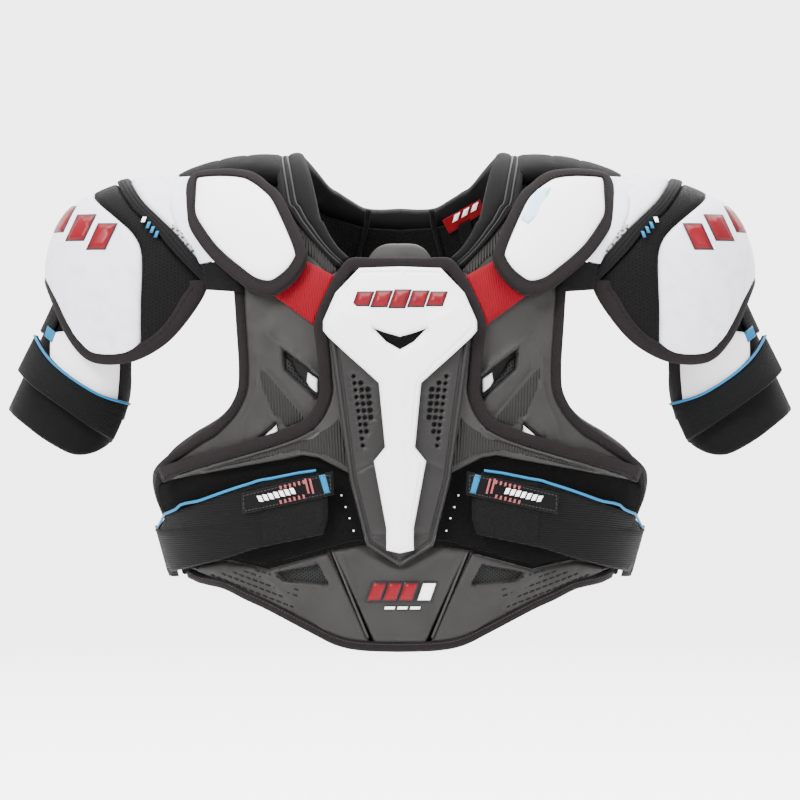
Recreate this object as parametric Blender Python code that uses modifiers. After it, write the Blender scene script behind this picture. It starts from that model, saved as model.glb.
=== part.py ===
"""Hockey shoulder pads: a padded front with a hinged back, floating clavicle pads, shoulder caps
and bicep guards.  Outlines are (distance from the middle, height above the hem) in millimetres as
seen from the front; +Z is up, the chest faces -Y, and the origin is where the shoulders carry it."""

import math

import bmesh
import bpy
import numpy as np
from mathutils import Vector

MM = 0.001
REST_HEIGHT = 380.0  # height of the shoulder rest above the hem
BINDING = 8.0  # width of the edge tape
SEAM_GAP = 1.4  # clearance between neighbouring pieces
CELL = 23.0  # spacing of the grid that bends a flat outline

# the wearer's form the layers are built out from
SPRING = 230.0  # height where the shoulders start to close over
ARCH = 400.0  # run of the surface from the front spring line to the back one
SIDE_POWER = 2.4
WIDTH_HEIGHTS = (0, 58, 108, 125, 145, 180, 230)
WIDTHS = (150, 162, 176, 186, 194, 202, 205)
DEPTH_HEIGHTS = (0, 60, 140, 230)
FRONT_DEPTHS = (104, 110, 115, 118)
BACK_DEPTHS = (90, 95, 99, 100)

# layers, as distance out from the wearer's form
LINER = (0.0, 6.0)
PANEL = (7.2, 15.0)
EDGE = (0.0, 16.0)
RIB = (16.6, 20.6)
FRAME = (16.6, 22.6)
CARRIER = (23.0, 27.6)
PLATE = (28.8, 34.8)
STRAP = (23.6, 26.6)
TAB = (27.6, 30.6)
FLOAT = (22.4, 31.0)

for leftover in list(bpy.data.objects):
    bpy.data.objects.remove(leftover, do_unlink=True)

ASSEMBLY = bpy.data.collections.new("hockey_shoulder_pads")
CUTTERS = bpy.data.collections.new("cutters")
for group in (ASSEMBLY, CUTTERS):
    bpy.context.scene.collection.children.link(group)
CUTTERS.hide_render = True


# ---------------------------------------------------------------- materials and placing
MATERIALS = {}


def material(name, colour, roughness):
    """One Principled material, made once per name."""
    if name not in MATERIALS:
        made = bpy.data.materials.new(name)
        made.use_nodes = True
        shader = made.node_tree.nodes["Principled BSDF"]
        shader.inputs["Base Color"].default_value = (*colour, 1.0)
        shader.inputs["Roughness"].default_value = roughness
        made.diffuse_color = (*colour, 1.0)
        MATERIALS[name] = made
    return MATERIALS[name]


WHITE_SHELL = material("white_moulded_shell", (0.86, 0.86, 0.87), 0.45)
WHITE_CLOTH = material("white_cap_fabric", (0.80, 0.80, 0.84), 0.75)
GREY_FOAM = material("grey_moulded_foam", (0.095, 0.092, 0.088), 0.7)
CARRIER_PLASTIC = material("dark_grey_plastic", (0.075, 0.072, 0.070), 0.55)
BLACK_LINER = material("black_liner_mesh", (0.010, 0.010, 0.011), 0.9)
BLACK_FOAM = material("black_padded_foam", (0.014, 0.013, 0.014), 0.85)
BINDING_TAPE = material("charcoal_binding_tape", (0.038, 0.031, 0.032), 0.8)
BLACK_ELASTIC = material("black_elastic", (0.015, 0.015, 0.016), 0.85)
LOOP_PILE = material("black_loop_pile", (0.009, 0.009, 0.009), 1.0)
RED_CLOTH = material("red_stretch_fabric", (0.60, 0.002, 0.021), 0.7)
RED_LABEL = material("red_woven_label", (0.45, 0.01, 0.03), 0.8)

FRAMES = {}


def frame(name, pivot, parent=None):
    """An empty on a joint axis; pieces of one moving body hang from it."""
    empty = bpy.data.objects.new("frame_" + name, None)
    ASSEMBLY.objects.link(empty)
    here = Vector(pivot)
    if parent is None:
        empty.location = (here - Vector((0, 0, REST_HEIGHT))) * MM
    else:
        empty.parent = FRAMES[parent][0]
        empty.location = (here - FRAMES[parent][1]) * MM
    FRAMES[name] = (empty, here)


def place(name, bm, body, finish, modifiers=()):
    """Turn a mesh in millimetres into an object whose origin sits on its body's joint axis."""
    empty, pivot = FRAMES[body]
    if not modifiers:
        bm.normal_update()
        bmesh.ops.recalc_face_normals(bm, faces=bm.faces)
    for vert in bm.verts:
        vert.co = (vert.co - pivot) * MM
    mesh = bpy.data.meshes.new(name)
    bm.to_mesh(mesh)
    bm.free()
    piece = bpy.data.objects.new(name, mesh)
    ASSEMBLY.objects.link(piece)
    piece.parent = empty
    piece.data.materials.append(finish)
    for kind, settings in modifiers:
        added = piece.modifiers.new(kind.lower(), kind)
        for key, value in settings.items():
            setattr(added, key, value)
    for face in mesh.polygons:
        face.use_smooth = True
    return piece


def thicken(amount):
    """Solidify settings that grow an open surface outwards by so many millimetres."""
    return ("SOLIDIFY", {"thickness": amount * MM, "offset": 1.0, "use_even_offset": False})


# ---------------------------------------------------------------- forms
def section_table():
    """Arc length round a quarter of the reference chest section against its x fraction."""
    turn = np.linspace(0.0, math.pi / 2, 400)
    x = np.sin(turn) ** (2 / SIDE_POWER)
    y = np.cos(turn) ** (2 / SIDE_POWER)
    step = np.hypot(np.diff(x * 205.0), np.diff(y * 118.0))
    return x, np.concatenate(([0.0], np.cumsum(step)))


SECTION_X, SECTION_RUN = section_table()
SIDE = float(SECTION_RUN[-1])  # run from the middle of the chest to the side


def half_width(z):
    return float(np.interp(z, WIDTH_HEIGHTS, WIDTHS))


def top_height(x):
    x = abs(x)
    near_neck = max(0.0, 1 - x / 110.0)
    past_ridge = max(0.0, (x - 110.0) / 75.0)
    return 384.0 + 33.0 * near_neck ** 2 - 20.0 * past_ridge ** 2


def torso(u, t):
    """Point on the wearer's form: u runs round from the chest, t up the front and over the back."""
    behind = t > SPRING + ARCH / 2
    reach = abs(u)
    if reach > SIDE:
        behind = not behind
        reach = 2 * SIDE - reach
    fraction = float(np.interp(reach, SECTION_RUN, SECTION_X))
    z = t if t <= SPRING else SPRING
    if t >= SPRING + ARCH:
        z = 2 * SPRING + ARCH - t
    x = math.copysign(half_width(z) * fraction, u)
    side = max(0.0, 1 - fraction ** SIDE_POWER) ** (1 / SIDE_POWER)
    depths = BACK_DEPTHS if behind else FRONT_DEPTHS
    y = float(np.interp(z, DEPTH_HEIGHTS, depths)) * side * (1 if behind else -1)
    if SPRING < t < SPRING + ARCH:
        turn = math.pi * (t - SPRING) / ARCH
        y *= abs(math.cos(turn))
        z = SPRING + (top_height(x) - SPRING) * math.sin(turn)
    return Vector((x, y, z))


def normal_of(form, u, t, inside):
    """Outward unit normal of a form, by central differences."""
    step = 0.7
    across = form(u + step, t) - form(u - step, t)
    along = form(u, t + step) - form(u, t - step)
    out = across.cross(along)
    if out.length < 1e-9:
        out = form(u, t) - inside
    out.normalize()
    if out.dot(form(u, t) - inside) < 0:
        out = -out
    return out


def torso_out(u, t, d):
    point = torso(u, t)
    inside = Vector((0, 0, min(point.z, SPRING)))
    return point + normal_of(torso, u, t, inside) * d


def on_torso(x, z, d, behind=False):
    """Run coordinates of the point that is seen at (x, z) on the layer d out."""
    x0, z0 = x, min(z, SPRING + 60)
    limit = 0.9995
    for _ in range(40):
        u, t = run_of(x0, z0)
        seen = torso_out(u, t, d)
        x0 += 0.6 * (x - seen.x)
        z0 += 0.6 * (z - seen.z)
        edge = half_width(z0) * limit
        x0 = max(-edge, min(edge, x0))
        z0 = min(z0, top_height(x0) - 0.5)
    u, t = run_of(x0, z0)
    return (u, 2 * SPRING + ARCH - t) if behind else (u, t)


def run_of(x, z):
    fraction = min(1.0, abs(x) / half_width(min(z, SPRING)))
    u = math.copysign(float(np.interp(fraction, SECTION_X, SECTION_RUN)), x)
    if z <= SPRING:
        return u, z
    rise = min(1.0, (z - SPRING) / (top_height(x) - SPRING))
    return u, SPRING + ARCH / math.pi * math.asin(rise)


CAP_CENTRE = Vector((175.0, 0.0, 290.0))
CAP_RADII = (115.0, 92.0, 97.0)
CAP_POWER = 2.6


def cap_form(sign):
    """Half a shoulder cap: p and q are disc coordinates, the rim of the disc is its silhouette."""
    def form(p, q):
        r = min(math.hypot(p, q), 100.0)
        turn = math.atan2(q, p)
        seen = math.sin(r / 100.0 * math.pi / 2)
        depth = max(0.0, 1 - seen ** CAP_POWER) ** (1 / CAP_POWER)
        stretch = (abs(math.cos(turn)) ** CAP_POWER
                   + abs(math.sin(turn)) ** CAP_POWER) ** (-1 / CAP_POWER)
        x = CAP_RADII[0] * seen * math.cos(turn) * stretch
        z = CAP_RADII[2] * seen * math.sin(turn) * stretch
        return Vector((sign * (CAP_CENTRE.x + x), -CAP_RADII[1] * depth, CAP_CENTRE.z + z))
    return form


def on_cap(x, z):
    """Disc coordinates of the cap point seen at (x, z), shrunk onto the silhouette if beyond it."""
    a = (x - CAP_CENTRE.x) / CAP_RADII[0]
    b = (z - CAP_CENTRE.z) / CAP_RADII[2]
    seen = min(1.0, (abs(a) ** CAP_POWER + abs(b) ** CAP_POWER) ** (1 / CAP_POWER))
    r = 100.0 * math.asin(seen) / (math.pi / 2)
    turn = math.atan2(b, a)
    return r * math.cos(turn), r * math.sin(turn)


ARM_TOP = Vector((253.0, 0.0, 251.0))
ARM_TILT = math.radians(20.0)
ARM_RADIUS = 33.0
ARM_FLARE = 0.085
ARM_DEPTH = 1.14


def arm_form(sign):
    """The upper arm: w runs round from the outer side (front is negative), v runs down the arm."""
    axis = Vector((math.sin(ARM_TILT), 0, -math.cos(ARM_TILT)))
    outer = Vector((math.cos(ARM_TILT), 0, math.sin(ARM_TILT)))

    def form(w, v, d=0.0):
        turn = w / 45.0
        radius = ARM_RADIUS + ARM_FLARE * v + d
        here = ARM_TOP + axis * v + outer * (radius * math.cos(turn))
        here.y = (radius * ARM_DEPTH) * math.sin(turn)
        return Vector((sign * here.x, here.y, here.z))
    return form


# ---------------------------------------------------------------- outlines
def rounded(points, spacing=11.0, closed=True):
    """Points along the smooth curve through a few given ones."""
    pts = [Vector(p) for p in points]
    count = len(pts)
    out = []
    for i in range(count if closed else count - 1):
        if closed:
            a, b, c, d = (pts[(i + k) % count] for k in (-1, 0, 1, 2))
        else:
            a, b, c, d = (pts[max(0, min(count - 1, i + k))] for k in (-1, 0, 1, 2))
        pieces = max(1, round((c - b).length / spacing))
        for k in range(pieces):
            s = k / pieces
            out.append(0.5 * (2 * b + (c - a) * s + (2 * a - 5 * b + 4 * c - d) * s ** 2
                              + (3 * b - a - 3 * c + d) * s ** 3))
    if not closed:
        out.append(pts[-1])
    return out


def shifted(path, distance, closed=True):
    """A path moved sideways to its left by a distance, mitred at its corners."""
    out = []
    count = len(path)
    for i in range(count):
        before = path[(i - 1) % count] if closed or i else path[0]
        after = path[(i + 1) % count] if closed or i < count - 1 else path[-1]
        first = path[i] - before
        second = after - path[i]
        if first.length < 1e-6:
            first = second
        if second.length < 1e-6:
            second = first
        left = Vector((-first.y, first.x)).normalized() + Vector((-second.y, second.x)).normalized()
        left.normalize()
        straight = Vector((-first.y, first.x)).normalized()
        out.append(path[i] + left * (distance / max(0.45, left.dot(straight))))
    return out


def area(loop):
    return 0.5 * sum(a.x * b.y - b.x * a.y for a, b in zip(loop, loop[1:] + loop[:1]))


def inset(loop, distance):
    """A closed outline drawn in by a distance."""
    return shifted(loop, distance if area(loop) > 0 else -distance)


def mirrored(points):
    return [(-x, z) for x, z in reversed(points)]


def both_sides(points):
    """An outline given from the middle top round one side to the middle bottom, made whole."""
    return list(points) + mirrored(points[1:-1] if points[-1][0] == 0 else points[1:])


def on_side(points, sign):
    return [(sign * x, z) for x, z in points]


# ---------------------------------------------------------------- making bodies
def flat_domain(loops, cell):
    """Fill outlines with the curve tool and cut the fill by a square grid."""
    curve = bpy.data.curves.new("outline", "CURVE")
    curve.dimensions = "2D"
    curve.fill_mode = "BOTH"
    for loop in loops:
        spline = curve.splines.new("POLY")
        spline.points.add(len(loop) - 1)
        for point, here in zip(spline.points, loop):
            point.co = (here[0], here[1], 0.0, 1.0)
        spline.use_cyclic_u = True
    drawn = bpy.data.objects.new("outline", curve)
    CUTTERS.objects.link(drawn)
    filled = bpy.data.meshes.new_from_object(drawn)
    bpy.data.objects.remove(drawn, do_unlink=True)
    bm = bmesh.new()
    bm.from_mesh(filled)
    bpy.data.meshes.remove(filled)
    bmesh.ops.remove_doubles(bm, verts=bm.verts, dist=0.0001)
    for face in bm.faces:
        if face.normal.z < 0:
            face.normal_flip()
    bmesh.ops.dissolve_limit(bm, angle_limit=0.01, verts=bm.verts, edges=bm.edges)
    for axis in (0, 1):
        low = min(v.co[axis] for v in bm.verts)
        high = max(v.co[axis] for v in bm.verts)
        cut_normal = (1, 0, 0) if axis == 0 else (0, 1, 0)
        for k in range(math.floor(low / cell), math.ceil(high / cell) + 1):
            point = Vector(cut_normal) * (k * cell)
            bmesh.ops.bisect_plane(bm, geom=bm.verts[:] + bm.edges[:] + bm.faces[:], dist=0.8,
                                   plane_co=point, plane_no=cut_normal)
    bmesh.ops.triangulate(bm, faces=bm.faces)
    for face in bm.faces:
        if face.normal.z < 0:
            face.normal_flip()
    return bm


def bend(bm, mapping, centre):
    """Carry a flat mesh onto a form and turn its faces away from a centre line."""
    for vert in bm.verts:
        vert.co = mapping(vert.co.x, vert.co.y)
    bm.normal_update()
    facing = sum(f.normal.dot(f.calc_center_median() - centre) * f.calc_area() for f in bm.faces)
    if facing < 0:
        bmesh.ops.reverse_faces(bm, faces=bm.faces)
    return bm


def torso_sheet(name, body, finish, loops, layer, cell=CELL):
    """A padded sheet on the wearer's form; loops are in run coordinates."""
    bm = flat_domain(loops, cell)
    bend(bm, lambda u, t: torso_out(u, t, layer[0]), Vector((0, 0, 200)))
    return place(name, bm, body, finish, [thicken(layer[1] - layer[0])])


def tape(name, body, finish, path, width, mapping, thickness, centre, closed=False, rows=1):
    """A strip of tape between a path and the same path moved sideways."""
    other = shifted(path, width, closed)
    count = len(path)
    bm = bmesh.new()
    columns = count if closed else count - 1
    bmesh.ops.create_grid(bm, x_segments=columns, y_segments=rows, size=1.0)
    for vert in bm.verts:
        i = round((vert.co.x + 1) / 2 * columns)
        share = (vert.co.y + 1) / 2
        here = path[i % count].lerp(other[i % count], share)
        vert.co = Vector((here.x, here.y, 0))
    for vert in bm.verts:
        vert.co = mapping(vert.co.x, vert.co.y)
    if closed:
        bmesh.ops.remove_doubles(bm, verts=bm.verts, dist=0.0001)
    bm.normal_update()
    facing = sum(f.normal.dot(f.calc_center_median() - centre) * f.calc_area() for f in bm.faces)
    if facing < 0:
        bmesh.ops.reverse_faces(bm, faces=bm.faces)
    bmesh.ops.triangulate(bm, faces=bm.faces)
    return place(name, bm, body, finish, [thicken(thickness)])


def torso_tape(name, body, path, width, layer, closed=False, finish=None):
    return tape(name, body, finish or BINDING_TAPE, path, width,
                lambda u, t: torso_out(u, t, layer[0]), layer[1] - layer[0],
                Vector((0, 0, 200)), closed)


def run_path(points, d, behind=False):
    return [Vector(on_torso(x, z, d, behind)) for x, z in points]


# ---------------------------------------------------------------- joint frames
HINGE_HEIGHT = 408.0
SIDES = (("left", -1), ("right", 1))
CAP_PIVOT = (175.0, 0.0, 389.0)
HANGER_PIVOT = (271.0, 0.0, 300.0)
STERNUM_PIVOT = (0.0, -128.0, 314.0)
BELLY_PIVOT = (0.0, -118.0, 91.0)
STRAP_END = SIDE + 34.0
strap_end = torso_out(STRAP_END, 82.0, 25.0)
STRAP_PIVOT = (strap_end.x + 1.0, strap_end.y + 2.0, 82.0)
FLOATER_PIVOT = (86.5, -101.0, 343.0)
BICEP_STRAP_TURN = 4.0

frame("vest", (0, 0, REST_HEIGHT))
frame("back", (0, 0, HINGE_HEIGHT))
frame("sternum", STERNUM_PIVOT)
frame("belly", BELLY_PIVOT)
for side_name, s in SIDES:
    frame("belly_strap_" + side_name, (s * STRAP_PIVOT[0], STRAP_PIVOT[1], STRAP_PIVOT[2]), "back")
    frame("floater_" + side_name, (s * FLOATER_PIVOT[0], FLOATER_PIVOT[1], FLOATER_PIVOT[2]))
    frame("cap_" + side_name, (s * CAP_PIVOT[0], 0, CAP_PIVOT[2]))
    frame("hanger_" + side_name, (s * HANGER_PIVOT[0], 0, HANGER_PIVOT[2]), "cap_" + side_name)
    frame("guard_" + side_name, (s * ARM_TOP.x, 0, ARM_TOP.z), "hanger_" + side_name)
    hinge = arm_form(s)(BICEP_STRAP_TURN, 40.0, 14.5)
    frame("bicep_strap_" + side_name, hinge, "guard_" + side_name)


# ---------------------------------------------------------------- vest front
ARMHOLE = [(157, 356), (145, 330), (136, 300), (132.5, 261), (130.5, 226), (133, 207), (146, 188),
           (172, 170), (192, 156), (201, 146), (202, 136), (199, 122), (193, 106), (187, 86),
           (181, 68)]
NECK_EDGE = [(48, 309), (61, 321), (75, 336), (88, 353), (97, 367)]
FRAME_EDGE = [(0, 317), (20, 317), (39, 317), (48, 309), (58, 292), (69.5, 266), (69, 245),
              (66, 222), (66, 208), (75, 191), (99, 180), (125, 171.5), (157, 160), (189, 148)]
FRONT_TOP = SPRING + ARCH / 2 - 1.5
BACK_TOP = SPRING + ARCH / 2 + 1.5
PAD_FRONT = 396.0
PAD_BACK = 466.0


def seen(points, s, d, behind=False):
    """Run coordinates of an outline given for one side and seen on the layer d out."""
    return run_path(on_side(points, s), d, behind)


def toward_middle(width, s):
    return -width if s > 0 else width


for side_name, s in SIDES:
    armhole = run_path(rounded(on_side(ARMHOLE, s), 13, False), 16)
    torso_tape("armhole_binding_" + side_name, "vest", armhole, toward_middle(BINDING, s), EDGE)
    inner = shifted(armhole, toward_middle(BINDING + SEAM_GAP, s), False)
    neck = run_path(rounded(on_side(NECK_EDGE, s), 13, False), 18)
    top = [Vector((s * SIDE * 0.435, PAD_FRONT - 2)), Vector((s * SIDE * 0.60, PAD_FRONT - 2))]
    foot = [(141, 161), (80, 167), (34, 168), (34, 240), (34, 296)]
    vent = [(94, 243), (65, 221), (66, 202.5), (91, 226)]
    torso_sheet("chest_panel_" + side_name, "vest", GREY_FOAM,
                [neck + top + [p for p in inner if p.y > 163] + seen(foot, s, 15),
                 seen(vent, s, 15)], PANEL)
    torso_sheet("clavicle_stretch_" + side_name, "vest", RED_CLOTH,
                [seen([(77, 314), (60, 303.5), (74, 268), (101, 290)], s, 19.5)], (16.6, 19.6))
    collar = seen([(75, 336), (61, 321), (49, 310), (41, 317), (53, 329), (62, 346), (68, 362)],
                  s, 18)
    torso_sheet("front_collar_" + side_name, "vest", BLACK_FOAM,
                [[Vector((p.x - s * 1.5, p.y)) for p in collar]
                 + [Vector((s * 74, 404)), Vector((s * 76, FRONT_TOP)),
                    Vector((s * 101, FRONT_TOP)), Vector((s * 99, 396))]
                 + [Vector((p.x - s * 1.8, p.y)) for p in seen([(97, 367), (88, 353)], s, 18)]],
                (7.2, 21.0), 14.0)
    pad = [Vector((s * 104, PAD_FRONT)), Vector((s * 166, PAD_FRONT)), Vector((s * 169, FRONT_TOP)),
           Vector((s * 104, FRONT_TOP))]
    torso_sheet("shoulder_bridge_front_" + side_name, "vest", BLACK_FOAM, [pad], (7.2, 21.0))
    rear_pad = [Vector((s * 104, BACK_TOP)), Vector((s * 169, BACK_TOP)),
                Vector((s * 166, PAD_BACK)), Vector((s * 104, PAD_BACK))]
    torso_sheet("shoulder_bridge_rear_" + side_name, "back", BLACK_FOAM, [rear_pad], (7.2, 21.0))

frame_path = run_path(rounded(FRAME_EDGE, 13, False), 21)
frame_whole = [Vector((-p.x, p.y)) for p in reversed(frame_path[1:])] + frame_path
torso_tape("yoke_binding", "vest", frame_whole, -10.0, FRAME)
rib_top = [p for p in shifted(frame_whole, -10.0 - SEAM_GAP, False) if abs(p.x) < 160]
rib_foot = [(152, 142), (143, 144), (78, 157), (66, 155), (40, 141), (0, 128)]
rib_low = seen(rib_foot, 1, 20)
torso_sheet("rib_panel", "vest", GREY_FOAM,
            [rib_top + rib_low + [Vector((-p.x, p.y)) for p in reversed(rib_low[:-1])]], RIB)

band_top = seen([(186, 147), (140, 158), (80, 163), (34, 163), (0, 163)], 1, 15)
band_foot = seen([(0, 92), (40, 89), (59, 83.5), (109, 69.5), (145, 76), (166, 70)], 1, 15)
side_edge = [p for p in shifted(run_path(rounded(ARMHOLE, 13, False), 16),
                                -BINDING - SEAM_GAP, False) if 80 < p.y < 140]
loop = band_top[::-1] + side_edge + band_foot[::-1]
loop = [p for p in loop if p.x > 0.5]
torso_sheet("loop_band", "vest", LOOP_PILE,
            [loop + [Vector((-p.x, p.y)) for p in reversed(loop)]], PANEL)

liner_side = [p for p in shifted(run_path(rounded(ARMHOLE, 13, False), 16),
                                 -BINDING - SEAM_GAP, False) if p.y > 80]
liner_neck = seen([(44, 300), (61, 317), (75, 333), (88, 352), (97, 366)], 1, 6)
liner_half = ([Vector((0, 306))] + liner_neck
              + [Vector((104, PAD_FRONT)), Vector((104, FRONT_TOP)), Vector((180, FRONT_TOP)),
                 Vector((172, 380))]
              + liner_side + seen([(166, 78), (145, 84), (109, 78), (59, 91), (0, 98)], 1, 6))
liner_right = [p for p in liner_half if p.x > 0.5]
torso_sheet("chest_liner", "vest", BLACK_LINER,
            [liner_right + [Vector((-p.x, p.y)) for p in reversed(liner_right)]], LINER)

# ---------------------------------------------------------------- sternum
carrier = [(0, 300), (30, 300), (48, 283), (56, 262), (56, 248), (41, 139.5), (27, 86), (0, 69)]
torso_sheet("sternum_carrier", "sternum", CARRIER_PLASTIC,
            [run_path(both_sides(carrier), 27)], CARRIER)
plate = [(0, 311), (33, 310), (52, 290), (62, 267), (62, 259), (58, 254), (42, 239), (17, 216.5),
         (12, 165), (21, 154), (11, 100), (11, 82.5), (0, 80)]
torso_sheet("sternum_cap", "sternum", WHITE_SHELL, [run_path(both_sides(plate), 34)], PLATE)

# ---------------------------------------------------------------- belly
hem = [(172, 57), (160, 53), (143, 49.5), (125, 41), (107, 33), (72, 15), (51, 5), (30, 1), (0, 0)]
hem_path = run_path(rounded(hem, 13, False), 16)
hem_whole = hem_path + [Vector((-p.x, p.y)) for p in reversed(hem_path[:-1])]
torso_tape("belly_binding", "belly", hem_whole, -BINDING, EDGE)
hem_inner = shifted(hem_path, -BINDING - SEAM_GAP, False)
wing_top = [(61, 79), (109, 66), (140, 71)]
vent = [(99, 61), (65, 68), (60, 54), (92, 56)]


def height_at(path, x):
    """Height of a path that runs inwards at a distance from the middle."""
    ordered = sorted((p.x, p.y) for p in path)
    return float(np.interp(x, [p[0] for p in ordered], [p[1] for p in ordered]))


for side_name, s in SIDES:
    edge = [p for p in hem_inner if 36 < p.x < 142]
    edge.append(Vector((32.5, height_at(hem_inner, 32.5))))
    outline = [Vector((s * p.x, p.y)) for p in seen(wing_top, 1, 15) + edge]
    torso_sheet("belly_wing_" + side_name, "belly", GREY_FOAM,
                [outline, seen(vent, s, 15)], PANEL)
centre = [Vector((30.0, height_at(hem_inner, 30.0)))]
centre += seen([(57.5, 80.5), (40, 85), (3, 86)], 1, 15)
low = [p for p in hem_inner if 0.5 < p.x < 26]
right = low[::-1] + centre
torso_sheet("belly_centre", "belly", GREY_FOAM,
            [right + [Vector((-p.x, p.y)) for p in reversed(right)]], PANEL)

# ---------------------------------------------------------------- belly straps
for side_name, s in SIDES:
    front = seen([(190, 62), (145, 74), (114, 84), (62, 95), (58, 121), (66, 143), (100, 137),
                  (140, 125), (190, 111)], s, 26)
    end = [Vector((s * (SIDE + 4), 107)), Vector((s * STRAP_END, 107)),
           Vector((s * STRAP_END, 57)), Vector((s * (SIDE + 4), 58))]
    torso_sheet("belly_strap_" + side_name, "belly_strap_" + side_name, BLACK_ELASTIC,
                [front + end], STRAP)
    tab = seen([(54, 146), (53, 127), (80, 121), (127, 111), (128, 128)], s, 30)
    torso_sheet("belly_strap_tab_" + side_name, "belly_strap_" + side_name, BLACK_LINER,
                [tab], TAB)

# ---------------------------------------------------------------- floating clavicle pads
FLOATER = [(174, 354), (171, 374), (160, 383), (140, 385), (116, 383), (104, 374), (95, 352),
           (78, 319), (86, 303), (103, 288), (124, 296), (138, 309), (153, 325), (167, 342)]
for side_name, s in SIDES:
    edge = run_path(rounded(on_side(FLOATER, s), 13), 31)
    ring = 9.0 if area(edge) > 0 else -9.0
    torso_tape("floater_binding_" + side_name, "floater_" + side_name, edge, ring, FLOAT, True)
    torso_sheet("floater_pad_" + side_name, "floater_" + side_name, WHITE_SHELL,
                [inset(edge, 9.0 + SEAM_GAP)], (22.4, 33.0))

# ---------------------------------------------------------------- back
BACK_ARMHOLE = [(152, 348), (140, 318), (133, 285), (131, 250), (134, 215), (148, 192), (172, 176),
                (190, 162), (199, 146), (198, 128), (190, 104), (182, 80), (172, 66), (150, 56),
                (110, 46), (60, 40), (0, 38)]
back_path = run_path(rounded(BACK_ARMHOLE, 13, False), 16, True)
back_whole = back_path + [Vector((-p.x, p.y)) for p in reversed(back_path[:-1])]
torso_tape("back_binding", "back", back_whole, BINDING, EDGE)
back_inner = shifted(back_path, BINDING + SEAM_GAP + 1.0, False)
back_neck = run_path([(3, 334), (30, 335), (60, 345), (86, 361)], 15, True)
top_edge = [Vector((104, PAD_BACK + 2)), Vector((174, PAD_BACK + 2))]
back_half = [p for p in back_neck + top_edge + back_inner if p.x > 0.5]
torso_sheet("back_panel", "back", GREY_FOAM,
            [back_half + [Vector((-p.x, p.y)) for p in reversed(back_half)]], PANEL)
liner_top = [Vector((104, BACK_TOP)), Vector((180, BACK_TOP)), Vector((172, 478))]
back_lining = [p for p in back_neck + [Vector((104, 478))] + liner_top + back_inner if p.x > 0.5]
torso_sheet("back_liner", "back", BLACK_LINER,
            [back_lining + [Vector((-p.x, p.y)) for p in reversed(back_lining)]], LINER)

collar_low = run_path([(3, 338), (30, 340), (58, 349), (84, 366)], 18, True)
collar_high = run_path([(70, 384), (52, 374), (27, 364), (3, 362)], 18, True)
collar_half = (collar_low + [Vector((99, 466)), Vector((101, BACK_TOP)), Vector((76, BACK_TOP)),
                             Vector((74, 452))] + collar_high)
torso_sheet("back_collar", "back", BLACK_FOAM,
            [collar_half + [Vector((-p.x, p.y)) for p in reversed(collar_half)]], (7.2, 21.0), 14.0)
torso_sheet("collar_label", "back", RED_LABEL,
            [run_path([(36, 346), (66, 358), (62, 368), (36, 356)], 5, True)], (4.4, 6.0))

for side_name, s in SIDES:
    pad = rounded(on_side([(42, 180), (40, 240), (44, 300), (70, 318), (104, 318), (119, 290),
                           (117, 240), (106, 205), (76, 176)], s), 20)
    torso_sheet("scapula_pad_" + side_name, "back", BLACK_FOAM, [run_path(pad, 26, True)],
                (16.6, 26.0))

GUARD_LOW, GUARD_HIGH = 96.0, 262.0
bm = bmesh.new()
bmesh.ops.create_cube(bm, size=1.0)
for vert in bm.verts:
    vert.co = Vector((vert.co.x * 60.0, vert.co.y * 10.0 + 122.0,
                      (GUARD_LOW + GUARD_HIGH) / 2 + vert.co.z * (GUARD_HIGH - GUARD_LOW)))
rims = [e for e in bm.edges if all(v.co.y > 120 for v in e.verts)]
bmesh.ops.bevel(bm, geom=rims, offset=4.0, segments=2, affect="EDGES", profile=0.5)
guard = place("spine_guard", bm, "back", WHITE_SHELL)
for face in guard.data.polygons:
    face.use_smooth = False

# ---------------------------------------------------------------- shoulder caps
CAP_EDGE = [(182, 389), (205, 392), (240, 386), (270, 366), (290, 335), (292, 308), (282, 279),
            (268, 250), (249, 233), (218, 233), (189, 248), (168, 272), (155, 297), (161, 319),
            (176, 338), (183, 360)]


def cap_layer(name, body, s, finish, bm, d0, d1):
    """A layer of the cap: a flat front half is bent, then mirrored to the back."""
    form = cap_form(s)
    centre = Vector((s * CAP_CENTRE.x, 0, CAP_CENTRE.z))
    for vert in bm.verts:
        flat = Vector((vert.co.x, vert.co.y))
        if flat.length > 98.0:
            flat *= 100.0 / flat.length
        away = normal_of(form, flat.x, flat.y, centre)
        on_rim = flat.length > 99.9
        if on_rim:
            away.y = 0.0
            away.normalize()
        vert.co = form(flat.x, flat.y) + away * d0
        if on_rim:
            vert.co.y = 0.0
    bmesh.ops.mirror(bm, geom=bm.verts[:] + bm.edges[:] + bm.faces[:], axis="Y", merge_dist=0.01)
    bmesh.ops.recalc_face_normals(bm, faces=bm.faces)
    bm.normal_update()
    facing = sum(f.normal.dot(f.calc_center_median() - centre) * f.calc_area() for f in bm.faces)
    if facing < 0:
        bmesh.ops.reverse_faces(bm, faces=bm.faces)
    return place(name, bm, body, finish, [thicken(d1 - d0)])


def rim_offset(path, width):
    """The path moved sideways, with both ends kept on the silhouette circle."""
    other = shifted(path, width, False)
    for end in (0, -1):
        other[end] = other[end].normalized() * 100.0
    return other


def strip(path, width):
    """A flat strip between an open path and the same path moved sideways."""
    other = rim_offset(path, width)
    bm = bmesh.new()
    bmesh.ops.create_grid(bm, x_segments=len(path) - 1, y_segments=1, size=1.0)
    for vert in bm.verts:
        i = round((vert.co.x + 1) / 2 * (len(path) - 1))
        here = path[i].lerp(other[i], (vert.co.y + 1) / 2)
        vert.co = Vector((here.x, here.y, 0))
    bmesh.ops.triangulate(bm, faces=bm.faces)
    return bm


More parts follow.
